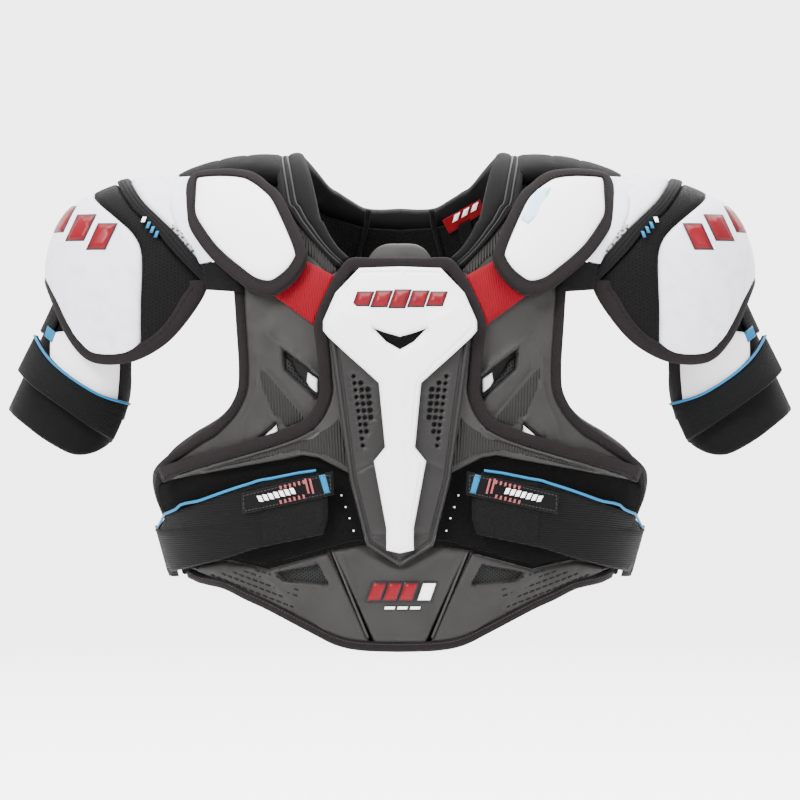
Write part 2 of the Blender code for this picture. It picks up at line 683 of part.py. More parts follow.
for side_name, s in SIDES:
    body = "cap_" + side_name
    outline = [Vector(on_cap(x, z)) for x, z in rounded(CAP_EDGE, 9.0)]
    first = max(i for i, p in enumerate(outline) if p.length > 99.9 and p.x > 50)
    rim = outline[first:] + outline[:1]
    cap_layer("cap_binding_" + side_name, body, s, BINDING_TAPE,
              strip(rim, -BINDING), -12.0, 1.0)
    inner_rim = rim_offset(rim, -BINDING - SEAM_GAP)
    arc = [p for p in outline if p.length > 99.9][1:-1]
    arc = [p for p in arc if min((p - inner_rim[0]).length, (p - inner_rim[-1]).length) > 9.0]
    cap_layer("cap_shell_" + side_name, body, s, WHITE_CLOTH,
              flat_domain([inner_rim + arc], 15.0), -6.0, 0.0)
    cap_layer("cap_foam_" + side_name, body, s, BLACK_FOAM,
              flat_domain([inner_rim + arc], 19.0), -18.0, -8.0)
    link = bmesh.new()
    bmesh.ops.create_cube(link, size=1.0)
    for vert in link.verts:
        vert.co = Vector((s * (148.0 + vert.co.x * 8.0), -84.0 + vert.co.y * 3.0 - vert.co.x * 4.0,
                          306.0 + vert.co.z * 14.0))
    place("cap_link_" + side_name, link, body, BLACK_ELASTIC)

# ---------------------------------------------------------------- bicep guards


def arm_sheet(name, body, s, finish, corners, d0, d1, rows=6, columns=16):
    """A curved sheet round the arm between four corner runs: (w, v) top start, top end, foot end,
    foot start."""
    form = arm_form(s)
    a, b, c, d = (Vector(p) for p in corners)
    bm = bmesh.new()
    bmesh.ops.create_grid(bm, x_segments=columns, y_segments=rows, size=1.0)
    for vert in bm.verts:
        i, j = (vert.co.x + 1) / 2, (1 - vert.co.y) / 2
        here = a.lerp(b, i).lerp(d.lerp(c, i), j)
        vert.co = form(here.x, here.y, d0)
    middle = ARM_TOP.copy()
    middle.x *= s
    low = form(0, 60, 0).lerp(form(141, 60, 0), 0.5)
    bm.normal_update()
    centre = middle.lerp(low, 0.5)
    facing = sum(f.normal.dot(f.calc_center_median() - centre) * f.calc_area() for f in bm.faces)
    if facing < 0:
        bmesh.ops.reverse_faces(bm, faces=bm.faces)
    bmesh.ops.triangulate(bm, faces=bm.faces)
    return place(name, bm, body, finish, [thicken(d1 - d0)])


for side_name, s in SIDES:
    guard = "guard_" + side_name
    arm_sheet("bicep_guard_body_" + side_name, guard, s, BLACK_FOAM,
              [(-114, -14), (108, -14), (108, 80), (-114, 80)], 0.0, 6.0)
    arm_sheet("bicep_plate_" + side_name, guard, s, WHITE_SHELL,
              [(-112, -14), (-44, -16), (-44, 36), (-112, 56)], 7.0, 10.0, rows=4, columns=9)
    arm_sheet("bicep_strap_" + side_name, "bicep_strap_" + side_name, s, BLACK_ELASTIC,
              [(-130, 35), (-2, 10), (-2, 44), (-130, 71)], 11.2, 14.0, rows=3, columns=14)
    arm_sheet("bicep_hanger_" + side_name, "hanger_" + side_name, s, BLACK_ELASTIC,
              [(-34, -24), (-10, -24), (-10, 7), (-34, 8)], 7.5, 10.0, rows=3, columns=3)
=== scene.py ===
"""Looks of the hockey shoulder pads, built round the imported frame.  Outlines are (distance from the
middle, height above the hem) in millimetres as seen from the front.  Run coordinates are the same two
measured along the surface, round the sides and over the shoulders to the back."""

import math

import bmesh
import bpy
import numpy as np
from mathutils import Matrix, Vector
from mathutils.geometry import delaunay_2d_cdt


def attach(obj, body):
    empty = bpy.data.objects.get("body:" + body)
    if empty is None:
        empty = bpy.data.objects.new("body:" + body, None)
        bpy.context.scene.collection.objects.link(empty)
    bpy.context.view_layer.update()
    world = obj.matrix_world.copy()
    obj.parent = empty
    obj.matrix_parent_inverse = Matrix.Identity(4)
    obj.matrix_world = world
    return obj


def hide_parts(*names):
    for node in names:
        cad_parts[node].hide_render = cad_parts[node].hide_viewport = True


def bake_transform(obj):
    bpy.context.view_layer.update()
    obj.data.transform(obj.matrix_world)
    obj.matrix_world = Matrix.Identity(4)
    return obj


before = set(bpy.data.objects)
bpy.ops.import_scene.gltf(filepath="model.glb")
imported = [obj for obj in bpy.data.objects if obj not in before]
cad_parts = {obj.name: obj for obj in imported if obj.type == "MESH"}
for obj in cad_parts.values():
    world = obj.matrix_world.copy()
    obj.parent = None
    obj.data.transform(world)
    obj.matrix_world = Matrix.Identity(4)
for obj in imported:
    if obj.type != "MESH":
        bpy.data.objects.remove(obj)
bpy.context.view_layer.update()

MM = 0.001
REST_HEIGHT = 380.0
SIDES = (("left", -1), ("right", 1))

# ---------------------------------------------------------------- forms, as in the solids
SPRING = 230.0
ARCH = 400.0
SIDE_POWER = 2.4
WIDTH_HEIGHTS = (0, 58, 108, 125, 145, 180, 230)
WIDTHS = (150, 162, 176, 186, 194, 202, 205)
DEPTH_HEIGHTS = (0, 60, 140, 230)
FRONT_DEPTHS = (104, 110, 115, 118)
BACK_DEPTHS = (90, 95, 99, 100)
CREST_FRONT = SPRING + ARCH / 2
CREST_HEIGHT, NECK_RISE, RIDGE_DROP = 384.0, 33.0, 20.0
RIDGE_REACH, RIDGE_RUN = 110.0, 75.0
SEEN_PASSES, SEEN_STEP = 60, 0.6
TINY = 1e-9


def section_table():
    turn = np.linspace(0.0, math.pi / 2, 400)
    x = np.sin(turn) ** (2 / SIDE_POWER)
    y = np.cos(turn) ** (2 / SIDE_POWER)
    step = np.hypot(np.diff(x * WIDTHS[-1]), np.diff(y * FRONT_DEPTHS[-1]))
    return x, np.concatenate(([0.0], np.cumsum(step)))


SECTION_X, SECTION_RUN = section_table()
SIDE = float(SECTION_RUN[-1])


def top_height(x):
    x = np.abs(x)
    near_neck = np.maximum(0.0, 1 - x / RIDGE_REACH)
    past_ridge = np.maximum(0.0, (x - RIDGE_REACH) / RIDGE_RUN)
    return CREST_HEIGHT + NECK_RISE * near_neck ** 2 - RIDGE_DROP * past_ridge ** 2


def torso(u, t):
    """Points on the wearer's form for arrays of run coordinates."""
    u, t = np.broadcast_arrays(np.asarray(u, float), np.asarray(t, float))
    reach = np.abs(u)
    behind = t > CREST_FRONT
    past = reach > SIDE
    behind = behind ^ past
    reach = np.where(past, 2 * SIDE - reach, reach)
    fraction = np.interp(reach, SECTION_RUN, SECTION_X)
    z = np.minimum(t, SPRING)
    z = np.where(t >= SPRING + ARCH, 2 * SPRING + ARCH - t, z)
    x = np.copysign(np.interp(z, WIDTH_HEIGHTS, WIDTHS) * fraction, u)
    side = np.maximum(0.0, 1 - fraction ** SIDE_POWER) ** (1 / SIDE_POWER)
    front = -np.interp(z, DEPTH_HEIGHTS, FRONT_DEPTHS)
    back = np.interp(z, DEPTH_HEIGHTS, BACK_DEPTHS)
    y = np.where(behind, back, front) * side
    arch = (t > SPRING) & (t < SPRING + ARCH)
    turn = math.pi * (t - SPRING) / ARCH
    y = np.where(arch, y * np.abs(np.cos(turn)), y)
    z = np.where(arch, SPRING + (top_height(x) - SPRING) * np.sin(turn), z)
    return np.stack([x, y, z], -1)


def unit(vectors):
    return vectors / np.maximum(np.linalg.norm(vectors, axis=-1, keepdims=True), TINY)


def outward(form, u, t, inside):
    """Unit normals of a form, pointing away from the points inside it."""
    step = 0.7
    across = form(u + step, t) - form(u - step, t)
    along = form(u, t + step) - form(u, t - step)
    out = unit(np.cross(across, along))
    facing = np.sum(out * (form(u, t) - inside), -1, keepdims=True)
    return np.where(facing < 0, -out, out)


def on_body(u, t, d):
    """Torso layer: points d out from the wearer's form."""
    u, t = np.asarray(u, float), np.asarray(t, float)
    base = torso(u, t)
    inside = np.zeros_like(base)
    inside[..., 2] = np.minimum(base[..., 2], SPRING)
    return base + outward(torso, u, t, inside) * np.asarray(d, float)[..., None]


def run_of(x, z):
    width = np.interp(np.minimum(z, SPRING), WIDTH_HEIGHTS, WIDTHS)
    fraction = np.minimum(1.0, np.abs(x) / width)
    u = np.copysign(np.interp(fraction, SECTION_X, SECTION_RUN), x)
    rise = np.clip((z - SPRING) / (top_height(x) - SPRING), 0.0, 1.0)
    return u, np.where(z <= SPRING, z, SPRING + ARCH / math.pi * np.arcsin(rise))


def seen(points, s=1, d=16.0, behind=False):
    """Run coordinates of points given as seen from the front on the layer d out."""
    want = np.array(points, float)
    want[:, 0] *= s
    x, z = want[:, 0].copy(), np.minimum(want[:, 1], SPRING + 60)
    for _ in range(SEEN_PASSES):
        u, t = run_of(x, z)
        there = on_body(u, t, np.full(len(u), d))
        x += SEEN_STEP * (want[:, 0] - there[:, 0])
        z += SEEN_STEP * (want[:, 1] - there[:, 2])
        edge = np.interp(z, WIDTH_HEIGHTS, WIDTHS) * 0.9995
        x = np.clip(x, -edge, edge)
        z = np.minimum(z, top_height(x) - 0.5)
    u, t = run_of(x, z)
    if behind:
        t = 2 * SPRING + ARCH - t
    return np.stack([u, t], -1)


CAP_CENTRE = np.array((175.0, 0.0, 290.0))
CAP_RADII = (115.0, 92.0, 97.0)
CAP_POWER = 2.6
CAP_RIM = 100.0  # the silhouette in the cap's own coordinates
NEAR_RIM = 99.5
ON_RIM = 99.9


def at_rim(points):
    return np.hypot(points[..., 0], points[..., 1]) > NEAR_RIM


def cap_surface(s):
    def form(p, q):
        r = np.minimum(np.hypot(p, q), CAP_RIM)
        turn = np.arctan2(q, p)
        reach = np.sin(r / CAP_RIM * math.pi / 2)
        depth = np.maximum(0.0, 1 - reach ** CAP_POWER) ** (1 / CAP_POWER)
        stretch = (np.abs(np.cos(turn)) ** CAP_POWER
                   + np.abs(np.sin(turn)) ** CAP_POWER) ** (-1 / CAP_POWER)
        x = CAP_CENTRE[0] + CAP_RADII[0] * reach * np.cos(turn) * stretch
        z = CAP_CENTRE[2] + CAP_RADII[2] * reach * np.sin(turn) * stretch
        return np.stack([s * x, -CAP_RADII[1] * depth, z], -1)

    def layer(p, q, d):
        p, q, d = (np.asarray(v, float) for v in (p, q, d))
        size = np.hypot(p, q)
        pull = np.where(size > 98.0, CAP_RIM / np.maximum(size, 1e-6), 1.0)
        p, q = p * pull, q * pull
        rim = np.hypot(p, q) > ON_RIM
        out = outward(form, p, q, np.array((s * CAP_CENTRE[0], 0, CAP_CENTRE[2])))
        out[..., 1] = np.where(rim, 0.0, out[..., 1])
        out /= np.linalg.norm(out, axis=-1, keepdims=True)
        points = form(p, q) + out * d[..., None]
        points[..., 1] = np.where(rim, 0.0, points[..., 1])
        return points
    return layer


def cap_seen(points):
    want = np.array(points, float)
    a = (want[:, 0] - CAP_CENTRE[0]) / CAP_RADII[0]
    b = (want[:, 1] - CAP_CENTRE[2]) / CAP_RADII[2]
    size = np.minimum(1.0, (np.abs(a) ** CAP_POWER + np.abs(b) ** CAP_POWER) ** (1 / CAP_POWER))
    r = CAP_RIM * np.arcsin(size) / (math.pi / 2)
    turn = np.arctan2(b, a)
    return np.stack([r * np.cos(turn), r * np.sin(turn)], -1)


ARM_TOP = np.array((253.0, 0.0, 251.0))
ARM_TILT = math.radians(20.0)
ARM_RADIUS = 33.0
ARM_FLARE = 0.085
ARM_DEPTH = 1.14
ARM_SCALE = 45.0
ARM_AXIS = np.array((math.sin(ARM_TILT), 0, -math.cos(ARM_TILT)))
ARM_OUT = np.array((math.cos(ARM_TILT), 0, math.sin(ARM_TILT)))


def arm_surface(s):
    def layer(w, v, d):
        w, v, d = np.broadcast_arrays(*(np.asarray(k, float) for k in (w, v, d)))
        turn = w / ARM_SCALE
        radius = ARM_RADIUS + ARM_FLARE * v + d
        points = ARM_TOP + ARM_AXIS * v[..., None] + ARM_OUT * (radius * np.cos(turn))[..., None]
        points[..., 1] = radius * ARM_DEPTH * np.sin(turn)
        points[..., 0] *= s
        return points
    return layer


def arm_seen(points, d=9.0):
    """Arm coordinates of points given as seen from the front on the layer d out."""
    want = np.array(points, float)
    x, z = want[:, 0] - ARM_TOP[0], want[:, 1] - ARM_TOP[2]
    v = x * ARM_AXIS[0] + z * ARM_AXIS[2]
    perp = x * ARM_OUT[0] + z * ARM_OUT[2]
    turn = np.arccos(np.clip(perp / (ARM_RADIUS + ARM_FLARE * v + d), -1, 1))
    return np.stack([-turn * ARM_SCALE, v], -1)


# ---------------------------------------------------------------- outlines
MITRE_LIMIT = 0.45


def smooth(points, spacing=4.0, closed=True):
    """Samples of the smooth curve through a few points."""
    pts = np.asarray(points, float)
    count = len(pts)
    out = []
    for i in range(count if closed else count - 1):
        if closed:
            a, b, c, d = (pts[(i + k) % count] for k in (-1, 0, 1, 2))
        else:
            a, b, c, d = (pts[max(0, min(count - 1, i + k))] for k in (-1, 0, 1, 2))
        pieces = max(1, round(float(np.linalg.norm(c - b)) / spacing))
        for k in range(pieces):
            f = k / pieces
            out.append(0.5 * (2 * b + (c - a) * f + (2 * a - 5 * b + 4 * c - d) * f ** 2
                              + (3 * b - a - 3 * c + d) * f ** 3))
    if not closed:
        out.append(pts[-1])
    return np.array(out)


def dense(points, spacing=4.0, closed=True):
    """Samples of the straight-sided outline through the points."""
    pts = np.asarray(points, float)
    out = []
    last = len(pts) if closed else len(pts) - 1
    for i in range(last):
        b, c = pts[i], pts[(i + 1) % len(pts)]
        pieces = max(1, round(float(np.linalg.norm(c - b)) / spacing))
        out.extend(b + (c - b) * k / pieces for k in range(pieces))
    if not closed:
        out.append(pts[-1])
    return np.array(out)


def evened(points, count):
    """A path resampled to equal steps."""
    pts = np.asarray(points, float)
    run = np.concatenate(([0.0], np.cumsum(np.linalg.norm(np.diff(pts, axis=0), axis=1))))
    at = np.linspace(0.0, run[-1], count)
    return np.stack([np.interp(at, run, pts[:, k]) for k in range(pts.shape[1])], -1)


def length(points):
    return float(np.sum(np.linalg.norm(np.diff(np.asarray(points), axis=0), axis=1)))


def shifted(path, distance, closed=True):
    """A path moved sideways to its left, mitred at its corners."""
    path = np.asarray(path, float)
    if closed:
        before, after = path - np.roll(path, 1, 0), np.roll(path, -1, 0) - path
    else:
        before = np.vstack([path[1] - path[0], np.diff(path, axis=0)])
        after = np.vstack([np.diff(path, axis=0), path[-1] - path[-2]])
    turn = unit(np.stack([-before[:, 1], before[:, 0]], -1))
    then = unit(np.stack([-after[:, 1], after[:, 0]], -1))
    left = unit(turn + then)
    share = np.maximum(MITRE_LIMIT, np.sum(left * turn, 1, keepdims=True))
    return path + left * distance / share


def area(loop):
    nxt = np.roll(loop, -1, 0)
    return 0.5 * float(np.sum(loop[:, 0] * nxt[:, 1] - nxt[:, 0] * loop[:, 1]))


def inset(loop, distance):
    return shifted(loop, distance if area(loop) > 0 else -distance)


def flip(path):
    """The mirror image of a run path, in the opposite order."""
    return np.asarray(path)[::-1] * (-1, 1)


def whole(path):
    """A half outline from the middle top round the right to the middle bottom, with its mirror."""
    path = np.asarray(path, float)
    return np.vstack([path, flip(path)])


def mirrored(path):
    """A path that ends on the middle line, carried on by its mirror image."""
    return np.vstack([path, flip(path)[1:]])


def inside(points, loops):
    """Which points lie inside an outline and outside its holes."""
    odd = np.zeros(len(points), bool)
    x, y = points[:, 0][:, None], points[:, 1][:, None]
    for loop in loops:
        nxt = np.roll(loop, -1, 0)
        crosses = (loop[:, 1] > y) != (nxt[:, 1] > y)
        drop = nxt[:, 1] - loop[:, 1]
        drop = np.where(np.abs(drop) < 1e-12, 1e-12, drop)
        where = loop[:, 0] + (y - loop[:, 1]) / drop * (nxt[:, 0] - loop[:, 0])
        odd ^= (np.sum(crosses & (x < where), axis=1) % 2).astype(bool)
    return odd


def away_from(points, paths, closed=True):
    """Distance of each point from the nearest of some paths."""
    best = np.full(len(points), 1e9)
    for path in paths:
        path = np.asarray(path, float)
        a = path if closed else path[:-1]
        b = np.roll(path, -1, 0) if closed else path[1:]
        along = b - a
        size = np.maximum(np.sum(along ** 2, 1), 1e-12)
        for k in range(0, len(points), 4000):
            block = points[k:k + 4000, None, :]
            share = np.clip(np.sum((block - a) * along, -1) / size, 0, 1)
            gap = np.linalg.norm(block - (a + share[..., None] * along), axis=-1)
            best[k:k + 4000] = np.minimum(best[k:k + 4000], gap.min(1))
    return best


def circle(x, z, radius):
    turn = np.linspace(0, 2 * math.pi, 9)[:-1]
    return np.stack([x + radius * np.cos(turn), z + radius * np.sin(turn)], -1)


# ---------------------------------------------------------------- meshes
CREASE_SIDE = 1.6
CREASE_STEP = 0.7
ROW_STEP = 0.87


def new_object(name, verts, faces, finish, uv=None):
    mesh = bpy.data.meshes.new(name)
    mesh.from_pydata([tuple(v) for v in verts], [], faces)
    mesh.validate()
    if uv is not None:
        layer = mesh.uv_layers.new(name="cloth")
        at = np.zeros(len(mesh.loops), np.int32)
        mesh.loops.foreach_get("vertex_index", at)
        layer.data.foreach_set("uv", np.asarray(uv, np.float32)[at].ravel())
    mesh.polygons.foreach_set("use_smooth", [True] * len(mesh.polygons))
    made = bpy.data.objects.new(name, mesh)
    bpy.context.scene.collection.objects.link(made)
    mesh.materials.append(finish)
    return made


def to_world(points):
    points = np.array(points, float)
    points[..., 2] -= REST_HEIGHT
    return points * MM


def outward_faces(made):
    bm = bmesh.new()
    bm.from_mesh(made.data)
    bmesh.ops.recalc_face_normals(bm, faces=bm.faces)
    bm.to_mesh(made.data)
    bm.free()


def fill(loops, spacing, creases=(), steps=(1.2, 3.2)):
    """Triangles that fill an outline evenly, with edges along its creases."""
    loops = [np.asarray(loop, float) for loop in loops]
    points, edges = [], []
    for loop in loops:
        first = len(points)
        points.extend(loop)
        edges.extend((first + i, first + (i + 1) % len(loop)) for i in range(len(loop)))
    for crease in creases:
        path = dense(crease, spacing * CREASE_STEP, False)
        path = path[inside(path, loops)]
        if len(path) < 2:
            continue
        first = len(points)
        points.extend(path)
        edges.extend((first + i, first + i + 1) for i in range(len(path) - 1))
    free = []
    for k in steps:
        for loop in loops:
            for way in (k, -k):
                free.extend(shifted(loop, way))
    for crease in creases:
        for way in (CREASE_SIDE, -CREASE_SIDE):
            free.extend(shifted(dense(crease, spacing * CREASE_STEP, False), way, False))
    free = np.array(free) if free else np.zeros((0, 2))
    if len(free):
        gap = away_from(free, loops)
        free = free[inside(free, loops) & (gap > 0.8 * min(steps, default=1.0))]
    low = np.min(np.vstack(loops), 0)
    high = np.max(np.vstack(loops), 0)
    rows = np.arange(low[1], high[1], spacing * ROW_STEP)
    grid = [(x + (spacing / 2 if r % 2 else 0), y) for r, y in enumerate(rows)
            for x in np.arange(low[0], high[0] + spacing, spacing)]
    grid = np.array(grid)
    grid = grid[inside(grid, loops)]
    grid = grid[away_from(grid, loops) > max(steps, default=0) + spacing * 0.4]
    if creases and len(grid):
        grid = grid[away_from(grid, creases, False) > CREASE_SIDE + spacing * 0.35]
    everything = np.vstack([np.array(points), free, grid])
    made = delaunay_2d_cdt([Vector(p) for p in everything], edges, [], 0, 1e-3)
    pts = np.array([tuple(p) for p in made[0]])
    tris = np.array([f for f in made[2] if len(f) == 3])
    keep = inside(pts[tris].mean(1), loops)
    tris = tris[keep]
    used, back = np.unique(tris, return_inverse=True)
    return pts[used], back.reshape(-1, 3)


def pad(name, form, loops, d_in, d_out, finish, spacing=6.0, edge=3.0, start=0.35, crown=0.0,
        crown_run=40.0, relief=None, creases=(), split=False, steps=(1.2, 3.2)):
    """A closed padded sheet: flat inside, rounded at its edges, with relief on its outer face."""
    pts, tris = fill(loops, spacing, creases, steps)
    if split:
        on_rim = at_rim(pts)
        gap = away_from(pts, open_runs(loops), False)
    else:
        on_rim = np.zeros(len(pts), bool)
        gap = away_from(pts, loops)
    share = np.clip(gap / edge, 0, 1)
    rise = start + (1 - start) * np.sqrt(np.clip(1 - (1 - share) ** 2, 0, 1))
    top = d_in + (d_out - d_in) * rise
    if crown:
        swell = np.clip(gap / crown_run, 0, 1)
        top = top + crown * (swell * (2 - swell))
    if relief is not None:
        top = top + relief(pts)
    outer = form(pts[:, 0], pts[:, 1], top)
    inner = form(pts[:, 0], pts[:, 1], np.full(len(pts), d_in))
    count = len(pts)
    faces = [tuple(t) for t in tris] + [tuple(t[::-1] + count) for t in tris]
    edges = {}
    for tri in tris:
        for a, b in ((tri[0], tri[1]), (tri[1], tri[2]), (tri[2], tri[0])):
            key = (min(a, b), max(a, b))
            edges[key] = None if key in edges else (a, b)
    for pair in edges.values():
        if pair is None:
            continue
        a, b = pair
        if on_rim[a] and on_rim[b]:
            continue
        faces.append((b, a, a + count, b + count))
    uv = np.vstack([pts, pts]) * MM
    made = new_object(name, to_world(np.vstack([outer, inner])), [tuple(int(i) for i in f)
                      for f in faces], finish, uv)
    if split:
        mirror_back(made)
    outward_faces(made)
    return made


SWELL_PRESSURE = 4.0
SWELL_MOST = 2.2
SWELL_FRAMES = 16


def plump(made):
    """Lets a stuffed cushion swell under a little inner pressure; its underside stays put."""
    scene, verts = bpy.context.scene, made.data.vertices
    flat = np.array([v.co[:] for v in verts])
    seam = made.vertex_groups.new(name="seam")
    seam.add(list(range(len(verts) // 2, len(verts))), 1.0, "REPLACE")
    swell = made.modifiers.new("swell", "CLOTH")
    swell.settings.quality = 6
    swell.settings.use_pressure = True
    swell.settings.uniform_pressure_force = SWELL_PRESSURE
    swell.settings.effector_weights.gravity = 0.0
    swell.settings.vertex_group_mass = "seam"
    swell.point_cache.frame_start = 1
    swell.point_cache.frame_end = SWELL_FRAMES
    for frame_number in range(1, SWELL_FRAMES + 1):
        scene.frame_set(frame_number)
    solved = made.evaluated_get(bpy.context.evaluated_depsgraph_get())
    move = np.array([v.co[:] for v in solved.data.vertices]) - flat
    far = np.linalg.norm(move, axis=1, keepdims=True)
    move *= np.minimum(1.0, SWELL_MOST * MM / np.maximum(far, TINY))
    made.modifiers.remove(swell)
    made.vertex_groups.remove(seam)
    scene.frame_set(1)
    for vert, place in zip(made.data.vertices, flat + move):
        vert.co = place
    made.data.update()


def open_runs(loops):
    """The stretches of cap outlines that don't lie on the silhouette."""
    out = []
    for loop in loops:
        rim = at_rim(loop)
        for i in range(len(loop)):
            j = (i + 1) % len(loop)
            if not (rim[i] and rim[j]):
                out.append(np.array([loop[i], loop[j]]))
    return out


WELD = 0.00002
NECK_EASE, FOOT_LIFT = 0.10, 0.17


def mirror_back(made):
    """Adds the rear half of a cap piece, eased away from the neck and up at its foot."""
    bm = bmesh.new()
    bm.from_mesh(made.data)
    bmesh.ops.mirror(bm, geom=bm.verts[:] + bm.edges[:] + bm.faces[:], axis="Y",
                     merge_dist=WELD)
    for vert in bm.verts:
        behind = max(0.0, vert.co.y)
        reach, height = abs(vert.co.x) / MM, vert.co.z / MM + REST_HEIGHT
        near_neck = min(1.0, max(0.0, (205.0 - reach) / 45.0))
        low = min(1.0, max(0.0, (305.0 - height) / 55.0))
        vert.co.x += math.copysign(NECK_EASE * behind * near_neck, vert.co.x)
        vert.co.z += FOOT_LIFT * behind * low
    bm.to_mesh(made.data)
    bm.free()


TAPE = ((0.0, 0.0), (-0.02, 0.5), (0.0, 0.82), (0.07, 0.94), (0.22, 1.0), (0.5, 1.02),
        (0.78, 1.0), (0.93, 0.95), (1.0, 0.86), (1.0, 0.0))
FLAT = ((0.0, 0.0), (0.0, 0.6), (0.04, 1.0), (0.35, 1.0), (0.65, 1.0), (0.96, 1.0), (1.0, 0.6),
        (1.0, 0.0))
CORD_SIDES = 8
STITCH_RISE = 0.35
STITCH_SINK = 0.5


def band(name, form, a, b, d_in, d_out, finish, section=TAPE, closed=False, split=False):
    """A strip swept between two edges with a closed section of (share across, share of height)."""
    a, b = np.asarray(a, float), np.asarray(b, float)
    count = len(a)
    rings, uvs = [], []
    run = np.concatenate(([0.0], np.cumsum(np.linalg.norm(np.diff(a, axis=0), axis=1))))
    wide = float(np.mean(np.linalg.norm(b - a, axis=1)))
    for across, height in section:
        here = a + (b - a) * across
        d = np.full(count, d_in + (d_out - d_in) * height)
        rings.append(form(here[:, 0], here[:, 1], d))
        uvs.append(np.stack([run, np.full(count, across * wide)], -1))
    rings = np.array(rings)
    verts = rings.transpose(1, 0, 2).reshape(-1, 3)
    uv = np.array(uvs).transpose(1, 0, 2).reshape(-1, 2) * MM
    n = len(section)
    faces = []
    for i in range(count if closed else count - 1):
        j = (i + 1) % count
        for k in range(n):
            m = (k + 1) % n
            faces.append((i * n + k, j * n + k, j * n + m, i * n + m))
    ends_on_rim = at_rim(a[[0, -1]])
    if not closed:
        if not (split and ends_on_rim[0]):
            faces.append(tuple(range(n)))
        if not (split and ends_on_rim[1]):
            faces.append(tuple(range((count - 1) * n + n - 1, (count - 1) * n - 1, -1)))
    made = new_object(name, to_world(verts), faces, finish, uv)
    if split:
        mirror_back(made)
    outward_faces(made)
    return made


def cloth_grid(name, form, rows, shares, thick, finish):
    """A closed sheet over a grid of two run coordinates."""
    a, b = (k.ravel() for k in np.meshgrid(rows, shares, indexing="ij"))
    verts = np.vstack([form(a, b, np.full(len(a), thick)), form(a, b, np.zeros(len(a)))])
    count, wide = len(a), len(shares)
    faces = []
    for i in range(len(rows) - 1):
        for j in range(wide - 1):
            k = i * wide + j
            face = (k, k + 1, k + wide + 1, k + wide)
            faces.append(face)
            faces.append(tuple(v + count for v in face[::-1]))
    border = [j for j in range(wide)]
    border += [i * wide + wide - 1 for i in range(1, len(rows))]
    border += [(len(rows) - 1) * wide + j for j in range(wide - 2, -1, -1)]
    border += [i * wide for i in range(len(rows) - 2, 0, -1)]
    for k, v in enumerate(border):
        w = border[(k + 1) % len(border)]
        faces.append((v, w, w + count, v + count))
    uv = np.stack([a * 3.0, b * 22.0], -1) * MM
    made = new_object(name, to_world(verts), faces, finish, np.vstack([uv, uv]))
    outward_faces(made)
    return made


def tape(name, form, path, width, d_in, d_out, finish, closed=False, split=False):
    """Edge tape of a width, which lies to the path's left."""
    other = shifted(path, width, closed)
    if split:
        for end in (0, -1):
            if at_rim(path[end]):
                other[end] *= CAP_RIM / np.hypot(*other[end])
    return band(name, form, path, other, d_in, d_out, finish, TAPE, closed, split)


def thread(name, form, path, d, finish, pitch=3.2, length_mm=2.2, half=0.28, both=False):
    """A row of stitches that lie along a path on a layer."""
    total = length(path)
    count = max(2, int(total / pitch))
    at = evened(path, count * 2 + 1)
    starts, ends = at[0:-1:2], at[1::2]
    share = length_mm / pitch * 2
    ends = starts + (ends - starts) * share
    side = ends - starts
    side = unit(np.stack([-side[:, 1], side[:, 0]], -1))
    verts = []
    for base, height in ((starts, 0.0), ((starts + ends) / 2, STITCH_RISE), (ends, 0.0)):
        for way in (-half, half):
            here = base + side * way
            verts.append(form(here[:, 0], here[:, 1], np.full(len(base), d + height)))
    for base in (starts, ends):
        verts.append(form(base[:, 0], base[:, 1], np.full(len(base), d - STITCH_SINK)))
    verts = np.array(verts).transpose(1, 0, 2)
    faces = []
    quads = ((0, 1, 3, 2), (2, 3, 5, 4), (0, 2, 4, 7, 6), (1, 6, 7, 5, 3), (0, 6, 1), (4, 5, 7))
    for i in range(len(starts)):
        faces.extend(tuple(i * 8 + k for k in face) for face in quads)
    made = new_object(name, to_world(verts.reshape(-1, 3)), faces, finish)
    if both:
        mirror_back(made)
    outward_faces(made)
    return made


def cord_line(name, form, path, d, radius, finish):
    """A round piping along a path on a layer."""
    centre = form(path[:, 0], path[:, 1], np.full(len(path), d))
    after = np.vstack([centre[1:], 2 * centre[-1] - centre[-2]])
    before = np.vstack([2 * centre[0] - centre[1], centre[:-1]])
    along = unit(after - before)
    up = form(path[:, 0], path[:, 1], np.full(len(path), d + 1.0)) - centre
    side = unit(np.cross(along, up))
    up = np.cross(side, along)
    verts = []
    for i in range(len(path)):
        for k in range(CORD_SIDES):
            turn = 2 * math.pi * k / CORD_SIDES
            verts.append(centre[i] + radius * (math.cos(turn) * side[i] + math.sin(turn) * up[i]))
    faces = []
    for i in range(len(path) - 1):
        here, there = i * CORD_SIDES, (i + 1) * CORD_SIDES
        for k in range(CORD_SIDES):
            m = (k + 1) % CORD_SIDES
            faces.append((here + k, there + k, there + m, here + m))
    faces.append(tuple(range(CORD_SIDES)))
    last = (len(path) - 1) * CORD_SIDES
    faces.append(tuple(range(last + CORD_SIDES - 1, last - 1, -1)))
    made = new_object(name, to_world(verts), faces, finish)
    outward_faces(made)
    return made


def say(slot, nodes):
    """Hides the solids that a piece stands for; its slot is not used."""
    if nodes:
        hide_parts(*nodes)


def settle(made, body, slot, *nodes, stuffed=None):
    """Rides a piece on its body and hides the solids it stands for."""
    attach(made, body)
    say(slot, nodes)
    return made


def over_shoulder(made, slot, *nodes, stuffed=None):
    """For a piece that bends over the shoulder from the vest to the back: hides the solids it stands
    for and bakes its placement into its mesh.
    """
    say(slot, nodes)
    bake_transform(made)


